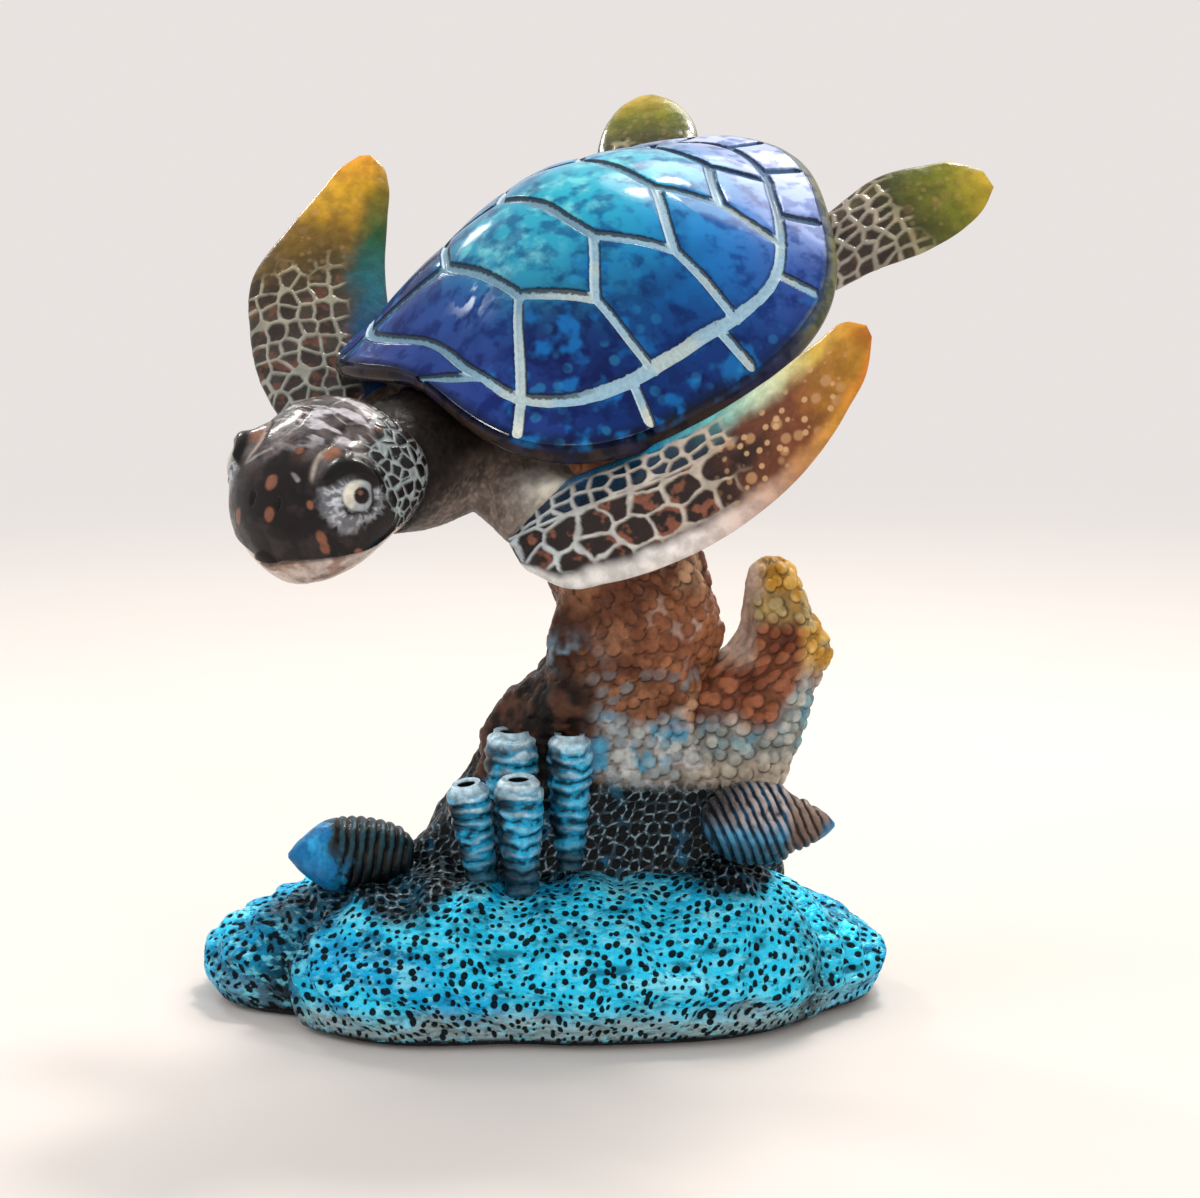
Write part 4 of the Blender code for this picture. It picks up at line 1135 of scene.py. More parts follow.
def head_mesh(eye_size):
    """The head's skin. Eyeballs, lids, brows, nostrils, the mouth's line and the plates are
    pushed out of the skull or into it by the distance to each."""
    rings = head_rings()
    x, y, z = np.moveaxis(rings, -1, 0)
    side = np.abs(y)

    # The face round the eye, in mm forward and down from the eye's middle
    from_eye = np.stack([x, side, z], axis=2) - EYE_PLACE
    far_off = 9 * ease(7, 9, np.linalg.norm(from_eye, axis=2))
    ahead = from_eye @ np.array(EYE_AHEAD)
    down = from_eye @ np.array(EYE_DOWN)
    reach = np.hypot(ahead, down) / eye_size + far_off
    around_eye = np.arctan2(down, ahead)
    eye = reach / EYE_RADIUS
    ball = np.sqrt(np.clip(1 - eye**2, 0, 1))
    lid = bell(eye - 1.2, 0.17)
    arch = np.hypot((ahead - 0.7) / 3.1, (down + 0.1) / 3.15) + far_off
    brow_arc = bell(arch - 1, 0.28) * ease(-0.6, -1.8, down)
    # Nostril and mouth
    nostril = np.hypot((x - 8.4) / 0.8, (side - 2.0) / 0.5) + 4 * (z < -1)
    mouth_z = smooth(*np.transpose(MOUTH_LINE), x)
    mouth = np.abs(z - mouth_z) + 3 * ease(-0.5, -1.6, x)
    jaw = ease(mouth_z, mouth_z - 0.4, z) * ease(-3, 0, x)
    # Plates: large on the skull, small behind the eye and on the cheek
    _, border_big, _ = cells(rings, BIG_PLATE, 31, 0.7)
    _, border_small, _ = cells(rings * (1.25, 1, 1), SMALL_PLATE, 35, 0.8)
    crown = ease(2.5, 5.0, z) * ease(3.5, 1.0, x) * ease(-6.0, -2.0, y)
    cheek = ease(0.9, -0.3, x + 0.5 * np.maximum(z - 2, 0)) * ease(7.0, 6.0, z) * (1 - jaw)
    clear = ease(1.1, 1.5, eye)
    broken = ease(0.38, 0.55, noise(rings, 2.6, 45))
    line_big = ease(0.26, 0.06, border_big) * crown * clear * (1 - brow_arc) * broken
    thin = 0.6 + 0.8 * noise(rings, 1.5, 47)
    line_small = ease(0.21, 0.05, border_small / thin) * cheek * clear
    polar = np.stack([around_eye * 2.2, 0.35 * reach], axis=-1)
    fluff = cloudy(polar, 0.3, 48, 2)
    hump = np.hypot((ahead - 1.2) / 2.6, (down + 5.0) / 1.6) + far_off

    push = EYE_BULGE * eye_size * ball - EYE_MOAT * bell(eye - 1.08, 0.12)
    push = push + LID_HEIGHT * lid + BROW_HEIGHT * brow_arc
    push = push - NOSTRIL_DEPTH * ease(1.0, 0.35, nostril)
    push = push + HUMP_HEIGHT * bell(hump, 0.8)
    push = push - MOUTH_DEPTH * ease(0.55, 0.1, mouth) - JAW_SINK * jaw
    push = push - BIG_PLATE_LINE * line_big - SMALL_PLATE_LINE * line_small
    push = push + HEAD_UNEVENNESS * (cloudy(rings, 4.0, 37) - 0.5)

    soot, copper = cloudy(rings, 2.2, 41), cloudy(rings, 3.0, 43)
    hair = cloudy(rings * (1.5, 0.35, 1.5), 1.1, 46)
    crown_grey_and_sheen = ease(5.0, 7.5, z) * ease(6, 2, x + 0.4 * y)
    # The grey and near-white streaks on the crown are grey paint with a painted reflection of the
    # light
    paint = coats(
        "120c0d",
        ("28201f", ease(0.45, 0.7, soot)),
        ("5f5857", crown_grey_and_sheen * ease(0.3, 0.65, soot) * 0.8),
        ("4f3328", crown_grey_and_sheen * ease(0.6, 0.7, copper) * 0.7),
        ("c2bdc2", crown_grey_and_sheen * ease(0.52, 0.66, hair) * ease(4.0, -2.5, x) * 0.8),
    )
    for forward, left, up, size in HEAD_OVALS:
        off = np.hypot(np.hypot(x - forward, y - left), 0.6 * (z - up)) / size
        paint = over(paint, "7d4f3b", ease(1.2, 0.7, off + 0.7 * (soot - 0.5)) * 0.85)
    for start, end in HEAD_STROKES:
        run = np.subtract(end, start)
        along = np.clip((rings - start) @ run / (run @ run), 0, 1)[..., None]
        off = np.linalg.norm(rings - start - along * run, axis=2)
        paint = over(paint, "8f8b8b", ease(0.36, 0.1, off + 0.4 * (hair - 0.5)) * 0.7)
    limit = 3.0 + 1.2 * ease(-0.5, 1.5, ahead) + 0.4 * ease(0.5, 2.0, down)
    ruff = ease(1.6, 2.1, reach) * ease(0.8, -0.8, reach - limit + 2.4 * (fluff - 0.5))
    ruff = ruff * ease(-2.4, -1.0, down)
    hood = np.hypot((ahead - 0.9) / 4.2, (down + 0.6) / 5.2) + far_off
    shelf = ease(1.0, 0.85, hood) * ease(-1.2, -2.6, down)
    blob = np.hypot((ahead - 2.7) / 1.25, (down + 4.5) / 0.8) + far_off
    outline = bell(hood - 1.04, 0.06) * ease(-1.0, -2.5, down) * ease(-2, 1, ahead)
    pupil = np.hypot((ahead + 0.35) / 0.95, (down + 0.1) / 1.05) + far_off
    glow = np.hypot(ahead + 0.2, down + 0.45) + far_off
    lash = bell(reach - 2.15 - 0.16 * np.cos(6 * around_eye), 0.3)
    lash_end = bell(ahead + 1.75, 0.28)
    paint = coats(
        paint,
        ("8f8a88", line_big * 0.4),
        ("0d0b0c", cheek * (1 - jaw) * 0.8),
        ("9fa8a8", line_small * 0.9),
        ("b4b7bd", ruff * (0.25 + 0.7 * ease(0.38, 0.62, fluff))),
        ("6b6361", shelf * ease(0.3, 0.6, soot) * 0.9),
        ("8a5a42", ease(1.2, 0.6, blob) * 0.9),
        ("a5978c", outline * 0.9),
        ("0a0707", np.clip(brow_arc * 2.4, 0, 1)),
        ("8d9296", ease(1.05, 0.9, eye)),
        ("c6c2b2", ease(1.0, 0.8, eye) * ease(-0.2, 0.5, ahead - 0.4 * down)),
        ("140d0c", ease(1.05, 0.8, pupil)),
        ("7a5142", ease(0.4, 0.15, glow) * 0.8),
        ("0c0908", lash * ease(0.6, 1.3, down - 0.2 * ahead) * 0.95),
        ("1c1716", lash_end * ease(1.6, 1.2, np.abs(down)) * ease(2.6, 2.2, reach)),
        ("060505", ease(1.0, 0.5, nostril) * 0.7),
        ("b8a79d", jaw * 0.97),
        ("84604f", jaw * ease(0.52, 0.62, copper) * 0.7),
        ("15110f", ease(0.4, 0.12, mouth) * ease(11.8, 11.0, x)),
        ("3a2f2a", ease(-7, -9.5, x) * 0.6),
    )

    x, y, z = np.moveaxis(pushed(rings, push), -1, 0)
    lean = np.radians(HEAD_TURN)
    ahead = x * np.cos(lean) - y * np.sin(lean)
    aside = x * np.sin(lean) + y * np.cos(lean)
    turned = np.stack([ahead, aside, z], axis=2)
    return skin("turtle_head", swimming(turned + HEAD_MIDDLE), paint=paint)


# Flippers


def flipper_rings(sizes, rows, around):
    """A flipper of lens sections from its root to its tip, between its leading and trailing
    edges. Gives the rings and, for each point, the distance along, the share of the length
    and the share across from the trailing edge to the leading one, and each ring's width."""
    root = flipper_root(sizes)
    reach = np.array(sizes["reach"])
    side = np.sign(reach[1])
    along = reach / np.linalg.norm(reach)
    level = np.array([0.0, 0.0, 1.0]) - along[2] * along
    level /= np.linalg.norm(level)
    chord = np.cross(along, level) * side
    lean = np.radians(sizes["twist"])
    forward = np.cos(lean) * chord - np.sin(lean) * level
    normal = np.cos(lean) * level + np.sin(lean) * chord
    table = np.array(sizes["edges"])
    share = 1 - (1 - np.linspace(0, 0.995, rows)) ** 1.35
    at = table[0, 0] + (table[-1, 0] - table[0, 0]) * share
    lead = smooth(table[:, 0], table[:, 1], at)[:, None]
    trail = smooth(table[:, 0], table[:, 2], at)[:, None]
    thick = sizes["thick"] * (1 - 0.62 * share**1.5) * np.sqrt(np.clip((1 - share) * 9, 0, 1))
    angle = turn(around)[None]
    across = (lead + trail + (lead - trail) * np.cos(angle)) / 2
    rise = thick[:, None] / 2 * np.sin(angle) + (sizes["curl"] * share**2)[:, None]
    rings = (
        root
        + along * at[:, None, None]
        + forward * across[..., None]
        + normal * rise[..., None]
    )
    wide = np.broadcast_to(at[:, None], across.shape)
    part = np.broadcast_to(share[:, None], across.shape)
    return rings, wide, part, (1 + np.cos(angle)) / 2 * np.ones_like(across), lead - trail


def along_paint(share, stops):
    """Colours laid end to end along a share from 0 to 1, blended between the stops."""
    keys = [key for key, _ in stops]
    colours = np.array([tint(code) for _, code in stops])
    return np.stack([np.interp(share, keys, colours[:, band]) for band in range(3)], axis=-1)


FRONT_LEFT_PAINT = {
    "cell": (4.3, 3.2),
    "scaled": (0.3, 0.84, 0.6),
    "small": 0.36,
    "trail": (
        (0, "a9c0cc"), (0.2, "2a6a9a"), (0.42, "1a6f8c"), (0.58, "5fa39c"), (0.72, "bfc9a4"),
        (0.86, "bf9f44"), (1, "c07a1c"),
    ),
    "middle": (
        (0, "1e1615"), (0.5, "241714"), (0.62, "4f2a1c"), (0.76, "6f3c20"), (0.86, "8f5f20"),
        (0.94, "a8741f"), (1, "a8641c"),
    ),
    "lead": (
        (0, "ccccc9"), (0.4, "d0c8c2"), (0.6, "b59a8c"), (0.72, "a8764a"), (0.85, "b9802c"),
        (1, "b8661a"),
    ),
    "ridge": (
        (0, "a9b3b5"), (0.35, "b3a99d"), (0.6, "a89884"), (1, "a8946c"),
    ),
    "copper": 0.85,
}
FRONT_RIGHT_PAINT = {
    "cell": (2.7, 2.5),
    "scaled": (0.3, 1.05, 0.6),
    "small": 0.0,
    "trail": (
        (0, "16324e"), (0.35, "123f6c"), (0.55, "135862"), (0.72, "1f4a24"), (0.85, "6f5f14"),
        (1, "b8801c"),
    ),
    "middle": (
        (0, "2f2a28"), (0.4, "37302b"), (0.58, "3a3020"), (0.72, "6a5018"), (0.88, "c0901e"),
        (1, "c8861e"),
    ),
    "lead": (
        (0, "5f5650"), (0.5, "4f463f"), (0.7, "7a5c2c"), (0.9, "c8982c"), (1, "c07f1e"),
    ),
    "ridge": (
        (0, "7d827f"), (0.5, "8f8a78"), (0.8, "8f7c48"), (1, "a08440"),
    ),
    "copper": 0.35,
}
REAR_PAINT = {
    "cell": (2.6, 1.7),
    "scaled": (0.0, 1.05, 0.6),
    "small": 0.0,
    "trail": ((0, "4f4540"), (0.4, "55483c"), (0.62, "3a3c18"), (0.8, "5c6416"), (1, "a08a1e")),
    "middle": ((0, "3f3733"), (0.45, "362b25"), (0.62, "33341a"), (0.8, "66661a"), (1, "ab8f26")),
    "lead": ((0, "7d7873"), (0.4, "7a716a"), (0.65, "7a7030"), (0.85, "b89a3c"), (1, "c8a848")),
    "ridge": ((0, "a39e99"), (0.5, "948a78"), (0.8, "8a8440"), (1, "b0a050")),
    "copper": 0.2,
}


# Pale flecks of the flippers' tips: size in mm, share filled, colour and where they are
FLIPPER_FLECKS = ((2.6, 0.34, "b08458", "dots"), (1.5, 0.33, "c9a070", "dots"))
# Paint, fineness and salt of each flipper
FLIPPER_MAKING = {
    "front_flipper_left": (FRONT_LEFT_PAINT, FRONT_FLIPPER_GRID, 101),
    "front_flipper_right": (FRONT_RIGHT_PAINT, FRONT_FLIPPER_GRID, 121),
    "rear_flipper_left": (REAR_PAINT, REAR_FLIPPER_GRID, 141),
    "rear_flipper_right": (REAR_PAINT, REAR_FLIPPER_GRID, 161),
}


def flipper_mesh(name, paint, grid, salt):
    """A flipper's skin: raised ridges round its scales, from the distance to each cell's
    border, with a smooth band along its leading edge and a smooth tip."""
    rings, along, share, across, width = flipper_rings(FLIPPERS[name], *grid)
    wobble = cloudy(rings, 3.0, salt) - 0.5
    flecks = ease(0.56, 0.66, cloudy(rings, 1.6, salt + 9))
    speckle = ease(0.3, 0.5, cloudy(rings, 1.4, salt + 11))
    from_trail = across * width
    start, stop, reach = paint["scaled"]
    cell_long, cell_wide = paint["cell"]
    spot = np.stack([along / cell_long, from_trail / cell_wide], axis=-1)
    # The upper and the lower side get scales of their own
    side = np.where(np.sin(turn(grid[1])) > 0, 0.0, 40.0)[None, :, None]
    bend = np.stack([cloudy(rings, 2.4, salt + one) for one in (13, 15)], axis=-1) * 0.4
    away, border, lot = cells(spot + side + bend, 1.0, salt + 3, 0.6)
    border = np.minimum(border, 0.68 - away) * cell_wide
    if paint["small"]:
        fine_away, fine_border, fine_lot = cells(spot / 0.6 + side + bend, 1.0, salt + 5, 0.6)
        fine_border = np.minimum(fine_border, 0.68 - fine_away)
        fine = across < paint["small"]
        border = np.where(fine, fine_border * cell_wide * 0.6, border)
        border = np.minimum(border, np.abs(across - paint["small"]) * width)
        lot = np.where(fine, fine_lot, lot)
    low_edge = 0.1 if paint["small"] else start
    scaled = ease(low_edge - 0.05, low_edge + 0.03, across + wobble * 0.05)
    scaled = scaled * ease(stop + 0.04, stop - 0.04, across + wobble * 0.06)
    scaled = scaled * ease(reach + 0.05, reach - 0.03, share + wobble * 0.2)
    ridge = ease(0.33, 0.10, border + wobble * 0.15) * scaled
    uneven = FLIPPER_UNEVENNESS * wobble * (1 - scaled) * ease(1.0, 0.9, share)
    push = RIDGE_HEIGHT * ridge - SCALE_SINK * scaled + uneven
    calm = ease(0.0, 0.12, np.minimum(across, 1 - across)) * 0.8 + 0.2
    rings = pushed(rings, push * calm * ease(1.0, 0.97, share))

    colour = along_paint(share + wobble * 0.12, paint["middle"])
    lead = along_paint(share, paint["lead"])
    colour = coats(
        colour,
        (along_paint(share, paint["trail"]), ease(0.34, 0.12, across + wobble * 0.2)),
        (lead, ease(stop - 0.02, stop + 0.1, across + wobble * 0.12)),
    )
    dark = ease(0.4, 0.8, lot) * 0.5
    blue = ease(paint["small"] + 0.02, paint["small"] - 0.02, across) if paint["small"] else 0
    flecked = flecks * paint["copper"] * (1 - blue)
    cell_colour = coats(
        colour,
        ("1c1210", dark),
        ("162534", blue * ease(0.9, 0.6, share) * 0.9),
        ("7d4a36", flecked),
    )
    leaf = bell(np.hypot((share - reach - 0.01) / 0.065, (across - 0.56) / 0.15), 1.0)
    colour = coats(
        colour,
        (cell_colour, scaled * ease(reach + 0.1, reach - 0.1, share)),
        ("1d110e", leaf * (paint["small"] > 0) * speckle),
        (along_paint(share, paint["ridge"]), ridge * 0.95),
    )
    dots = ease(0.5, 0.62, share) * ease(0.97, 0.85, share) * ease(0.2, 0.35, across)
    dots = dots * ease(0.95, 0.8, across) * (1.0 if paint["small"] else 0.2)
    return skin("turtle_" + name, swimming(rings), paint=colour, dots=dots)


# Coral


def coral_section(height, edges, lump, waves, angle):
    """A rounded-square section between its left, right, front and back edges, lumpy in waves
    about and along the coral. Heights and edges are columns, the angle is a row."""
    left, right, front, back = edges
    slow, fast = CORAL_WAVE_RISES
    wobble = np.cos(waves * angle + height / fast) + np.cos((waves + 2) * angle - height / slow)
    power = CORAL_SQUARENESS
    corner = (np.abs(np.cos(angle)) ** power + np.abs(np.sin(angle)) ** power) ** (-1 / power)
    x = (right - left) / 2 * corner + lump * wobble / 2
    y = (back - front) / 2 * corner + lump * wobble / 2
    return np.stack(
        [
            (left + right) / 2 + x * np.cos(angle),
            (front + back) / 2 + y * np.sin(angle),
            height + 0 * angle,
        ],
        axis=-1,
    )


def coral_rings(stations, lump, waves, rows, around):
    table = np.array(stations)
    heights = np.linspace(table[0, 0], table[-1, 0], rows)
    edges = [smooth(table[:, 0], table[:, column], heights)[:, None] for column in range(1, 5)]
    height = heights[:, None] + CREST
    return coral_section(height, edges, lump, waves, turn(around)[None])


def crown_ring(around):
    """The column's last ring, which lies along the turtle's belly."""
    angle = turn(around)[None]
    ring = coral_section(np.zeros((1, 1)), COLUMN_CROWN, COLUMN_LUMP, COLUMN_WAVES, angle)[0]
    drop = CARAPACE_RIM + GLUE_GAP + BODY_EDGE + BODY_DEPTH
    middle = swimming(np.array([0.0, 0.0, -drop]))
    up = swimming(np.array([0.0, 0.0, 1.0])) - swimming(np.zeros(3))
    lean = up[0] * (ring[:, 0] - middle[0]) + up[1] * (ring[:, 1] - middle[1])
    ring[:, 2] = middle[2] - lean / up[2] + CROWN_SINK
    return ring


def laid_flat(rings):
    """Places on a wrapped skin laid flat: the way round from its front, and the height."""
    around = rings.shape[1]
    front = 3 * around // 4
    step = np.linalg.norm(np.roll(rings, -1, axis=1) - rings, axis=2)
    way = np.cumsum(np.roll(step, -front, axis=1), axis=1)
    way = np.where(way > way[:, -1:] / 2, way - way[:, -1:], way)
    return np.stack([np.roll(way, front + 1, axis=1), rings[..., 2]], axis=2)


def polyps(flat, size, salt):
    """Round domed polyps, closely packed, from the distance to each cell's seed. Gives the
    height, the share of disc, a ring of cracking round it, strongest below and beside it,
    whose dark paint is painted shade, and the cell's own number."""
    away, _, lot = cells(flat, size, salt, 0.7)
    reach = away / (size * (0.42 + 0.14 * lot))
    dome = np.sqrt(np.clip(1 - reach**2, 0, 1))
    disc = ease(1.04, 0.84, reach)
    along, up = np.gradient(reach, axis=1), np.gradient(reach, axis=0)
    facing = (along - up) / np.maximum(np.hypot(along, up), 1e-9)
    # The ring of cracking is weighted to one side of each polyp; where the paint darkens it, it is
    # painted shade
    shaded_crack = bell(reach - 1.02, 0.18) * ease(-0.9, 0.9, facing)
    return POLYP_HEIGHT * size * (0.35 * disc + 0.65 * dome), disc, shaded_crack, lot


def column_mesh(polyp_size):
    """The coral column: lumpy sections that lean into the crown under the turtle, set with
    polyps, cracked at the top, rocky down the left slope and pitted at its foot."""
    rings = coral_rings(COLUMN_STATIONS, COLUMN_LUMP, COLUMN_WAVES, COLUMN_ROWS, COLUMN_AROUND)
    crown = crown_ring(COLUMN_AROUND)
    share = np.linspace(0, 1, CROWN_ROWS + 1)[1:, None, None]
    rings = np.concatenate([rings, rings[-1] * (1 - share) + crown * share])
    x, y, height = rings[..., 0], rings[..., 1], rings[..., 2] - CREST
    rise, disc, shaded_crack, lot = polyps(laid_flat(rings), polyp_size, 51)
    lumps = cloudy(rings, 8.0, 53) - 0.5
    rough = cloudy(rings, 2.2, 55)
    patch = cloudy(rings, 6.0, 57)
    smear = cloudy(rings * (1, 1, 0.6), 2.6, 59)
    edge = 3 + np.minimum(0.5 * (25 - height), 2.5)
    rocky = ease(2.5, -2.5, x - edge + 5 * (patch - 0.5)) * ease(28, 22, height)
    foot = ease(9.5, 7.0, height + 4 * (patch - 0.5))
    upper = ease(25, 30, height) * ease(14, 9, x)
    polyped = (1 - 0.75 * upper) * (1 - 0.6 * rocky) * (1 - foot)
    push = COLUMN_SWELL * lumps + POLYP_STRENGTH * rise * polyped
    push = push + SLOPE_ROUGHNESS * rocky * (rough - 0.5) - CRACK_DEPTH * shaded_crack * upper
    # The relief fades out over the last rings, which lie along the belly
    fade = np.ones((len(rings), 1))
    fade[-CROWN_FADE:] = np.linspace(1, 0, CROWN_FADE)[:, None]
    rings = pushed(rings, push * fade)

    # Dark paint along each polyp's lower right edge, in the brown, orange and pale coats, is painted
    # shade
    brown = coats(
        "6a3f2b",
        ("8f6044", ease(0.4, 0.65, smear)),
        ("54301f", ease(0.5, 0.85, lot) * disc * 0.35 * (1 - 0.7 * upper)),
        ("c09a78", ease(15, 20, x + 2 * patch) * ease(0.4, 0.6, smear) * 0.6),
        ("3a2016", (1 - disc) * (0.45 - 0.4 * upper)),
        ("1c0f0a", shaded_crack * (1 - upper * ease(0.6, 0.4, rough)) * 0.85),
        ("24140e", ease(9, 2, x) * ease(36, 30, height) * 0.75),
    )
    lobe = ease(12.5, 15, x + 2 * (patch - 0.5)) * ease(19, 23, height) * ease(36, 32, height)
    network = ease(26, 30, height + 3 * (patch - 0.5)) * 0.85 + 0.1
    orange = coats(
        "935f40",
        ("7a4a32", lot),
        ("b39484", (1 - disc) * network * ease(0.38, 0.6, rough) * 0.8),
        ("3a2218", (1 - disc) * (1 - network) * 0.4),
        ("24130c", shaded_crack * 0.7),
    )
    blue_patch = bell(np.hypot((x - 2.0) / 3.6, (height - 26.0) / 2.2), 1.0) * ease(6, 0, y)
    tinted = ease(0.62, 0.7, lot) * ease(27, 22, height) * ease(4, 8, x) * disc
    low = ease(19.0, 16.0, height + 8 * (patch - 0.5)) * ease(5.0, 8.0, x + 6 * (smear - 0.5))
    blue_gap = ease(0.44, 0.56, smear - 0.015 * (x - 10))
    gaps = over("7d7064", "1488b0", blue_gap)
    pale = coats(
        "7f8688",
        ("a4a6a2", ease(0.3, 0.7, lot)),
        ("6fa3b4", ease(0.5, 0.6, smear) * 0.7),
        ("b09f8c", ease(15, 21, x) * ease(0.35, 0.6, patch) * 0.8),
        (gaps, np.maximum((1 - disc) * 0.75, blue_gap * ease(0.36, 0.5, patch) * 0.75)),
        ("2c211b", shaded_crack * 0.75),
        ("d9dadb", (1 - disc) * ease(0.56, 0.62, rough) * 0.4),
    )
    dark = over("130d0b", "4a3024", ease(0.42, 0.7, rough))
    blackened = over("06080a", "11587a", ease(0.58, 0.68, smear) * 0.7)
    paint = coats(
        brown,
        (orange, lobe),
        ("8fb4c8", blue_patch * ease(0.4, 0.6, rough)),
        ("6a8088", tinted * 0.5),
        (pale, low),
        (dark, rocky * (1 - 0.85 * low)),
        (blackened, foot),
    )
    mesh = skin("coral_column_skin", rings, paint=paint, foot=foot)
    unrolled = np.concatenate([laid_flat(rings), np.zeros((*x.shape, 1))], axis=2)
    keep_place(mesh, "unrolled", with_ends(unrolled))
    return mesh


def sown_pits(tree, foot, pit_size):
    """Distance to the nearest pit, as a share of its reach, and to the line midway to the
    next, over a skin laid flat."""
    flat = node(tree, "Attribute", attribute_name="unrolled").outputs["Vector"]
    sway = node(tree, "TexNoise", {"Vector": flat, "Scale": 0.35, "Detail": 1.0}).outputs["Color"]
    bent = node(tree, "VectorMath", {0: sway, "Scale": 0.7}, operation="SCALE").outputs[0]
    bent = node(tree, "VectorMath", {0: flat, 1: bent}, operation="ADD").outputs[0]
    inputs = {"Vector": bent, "Scale": 1 / PIT_SPACING, "Randomness": 0.75}
    seeds = node(tree, "TexVoronoi", inputs, voronoi_dimensions="2D")
    lot = node(tree, "SeparateColor", {0: seeds.outputs["Color"]}).outputs[0]
    reach = step_of(tree, lot, 0.0, 0.9, PIT_REACH * pit_size, 2 * PIT_REACH * pit_size)
    reach = maths(tree, "ADD", reach, product(tree, foot, PIT_REACH_FOOT))
    away = maths(tree, "DIVIDE", seeds.outputs["Distance"], reach)
    edges = node(tree, "TexVoronoi", inputs, voronoi_dimensions="2D", feature="DISTANCE_TO_EDGE")
    return away, edges.outputs["Distance"]


def drilled(tree, colour, foot, away, edge):
    """Round black pits on a skin laid flat, parted by a broken silver net where the foot's
    paint is black. Gives the colour and the pits."""
    flat = node(tree, "Attribute", attribute_name="unrolled").outputs["Vector"]
    pit = step_of(tree, away, 1.08, 0.88)
    breaks = node(tree, "TexNoise", {"Vector": flat, "Scale": 1.3}).outputs["Fac"]
    broken = step_of(tree, breaks, 0.47, 0.6)
    ridge = product(tree, step_of(tree, edge, 0.2, 0.05), foot)
    colour = mixed(tree, product(tree, ridge, 0.8), colour, "27363d")
    net = product(tree, step_of(tree, edge, 0.13, 0.04), broken)
    silver = product(tree, net, step_of(tree, foot, 0.0, 1.0, 0.08, 0.6))
    colour = mixed(tree, silver, colour, "8fa6ae")
    return mixed(tree, product(tree, pit, 0.98), colour, "020508"), pit


def column_finish(pit_size):
    """Painted coral, cloudy and grained, with silver-rimmed pits at its black foot."""
    made, tree, shader = new_material("painted_coral")
    at = place(tree)
    fine = grain(tree, at, 0.45, 5.0)
    light = step_of(tree, grain(tree, at, 1.2), 0.3, 0.7, 0.78, 1.22)
    paint = shaded(tree, attribute(tree, "paint", True), light)
    foot = attribute(tree, "foot")
    pitted, pit = drilled(tree, paint, foot, *sown_pits(tree, foot, pit_size))
    colour = mixed(tree, foot, paint, pitted)
    rough = step_of(tree, fine, 0.3, 0.7, 0.3, 0.55)
    dent = product(tree, product(tree, pit, foot), 3.0)
    height = maths(tree, "SUBTRACT", fine, dent)
    values = {"Specular_IOR_Level": SHEEN, "Coat_Weight": 0.06}
    set_surface(tree, shader, colour, rough, height, 0.12, **values)
    return made


def branch_mesh(polyp_size):
    """The smaller coral branch: golden at its tip, cream down its left side, with brown and
    then blue polyps below."""
    rings = coral_rings(BRANCH_STATIONS, BRANCH_LUMP, BRANCH_WAVES, BRANCH_ROWS, BRANCH_AROUND)
    x, height = rings[..., 0], rings[..., 2] - CREST
    rise, disc, shaded_crack, lot = polyps(laid_flat(rings), polyp_size, 61)
    lumps = cloudy(rings, 5.0, 63) - 0.5
    patch = cloudy(rings, 5.0, 67)
    smear = cloudy(rings, 2.2, 69)
    bare = ease(29.2, 27, x - 0.1 * (height - 30) + 2 * (smear - 0.5)) * ease(23, 27, height)
    push = BRANCH_SWELL * lumps + POLYP_STRENGTH * rise * (1 - 0.85 * bare)
    rings = pushed(rings, push * ease(38.3, 36.5, height))

    gold = coats(
        "b0802c",
        ("cfa659", ease(0.4, 0.65, smear)),
        ("7d8f7c", ease(0.52, 0.62, patch) * 0.45),
        ("8a6224", (1 - disc) * 0.5),
    )
    golden = np.maximum(ease(29, 32.5, height + 4 * (patch - 0.5)), ease(34.0, 36.5, x + 2 * patch))
    low = ease(24.5, 20, height + 6 * (patch - 0.5) + 5.5 * ease(34, 30, x))
    joint = over("463a33", "2c6478", ease(0.46, 0.56, smear) * ease(11, 15, height))
    blue = coats(
        "858c88",
        ("a9a8a0", ease(0.3, 0.7, lot)),
        ("6a97a2", ease(0.48, 0.6, smear) * ease(11, 15, height) * 0.7),
        (joint, (1 - disc) * 0.45),
        ("b8a690", ease(14, 9, height) * 0.75),
    )
    # Dark paint along each polyp's lower right edge is painted shade
    paint = coats(
        "6f3c28",
        ("8f573c", ease(0.3, 0.7, lot)),
        ("3c2016", (1 - disc) * 0.5),
        (gold, golden * ease(21, 25, height)),
        ("c9b4a4", bare * 0.85),
        (blue, low),
        ("24150e", shaded_crack * (1 - 0.9 * bare) * 0.75),
    )
    return skin("coral_branch_skin", rings, paint=paint)


# Sponges and shells


def turned_rings(foot, top, share, radius, around):
    """Rings of a profile carried along the line from foot to top. Share and radius are
    columns, or grids where they change round the line too."""
    foot, top = np.asarray(foot, float), np.asarray(top, float)
    along = (top - foot) / np.linalg.norm(top - foot)
    aside = np.cross(along, (0.0, 1.0, 0.0))
    aside /= np.linalg.norm(aside)
    across = np.cross(along, aside)
    angle = turn(around)[None, :, None]
    share = np.broadcast_to(share, (len(share), around))[..., None]
    radius = np.broadcast_to(radius, share.shape[:2])[..., None]
    return foot + (top - foot) * share + radius * (np.cos(angle) * aside + np.sin(angle) * across)


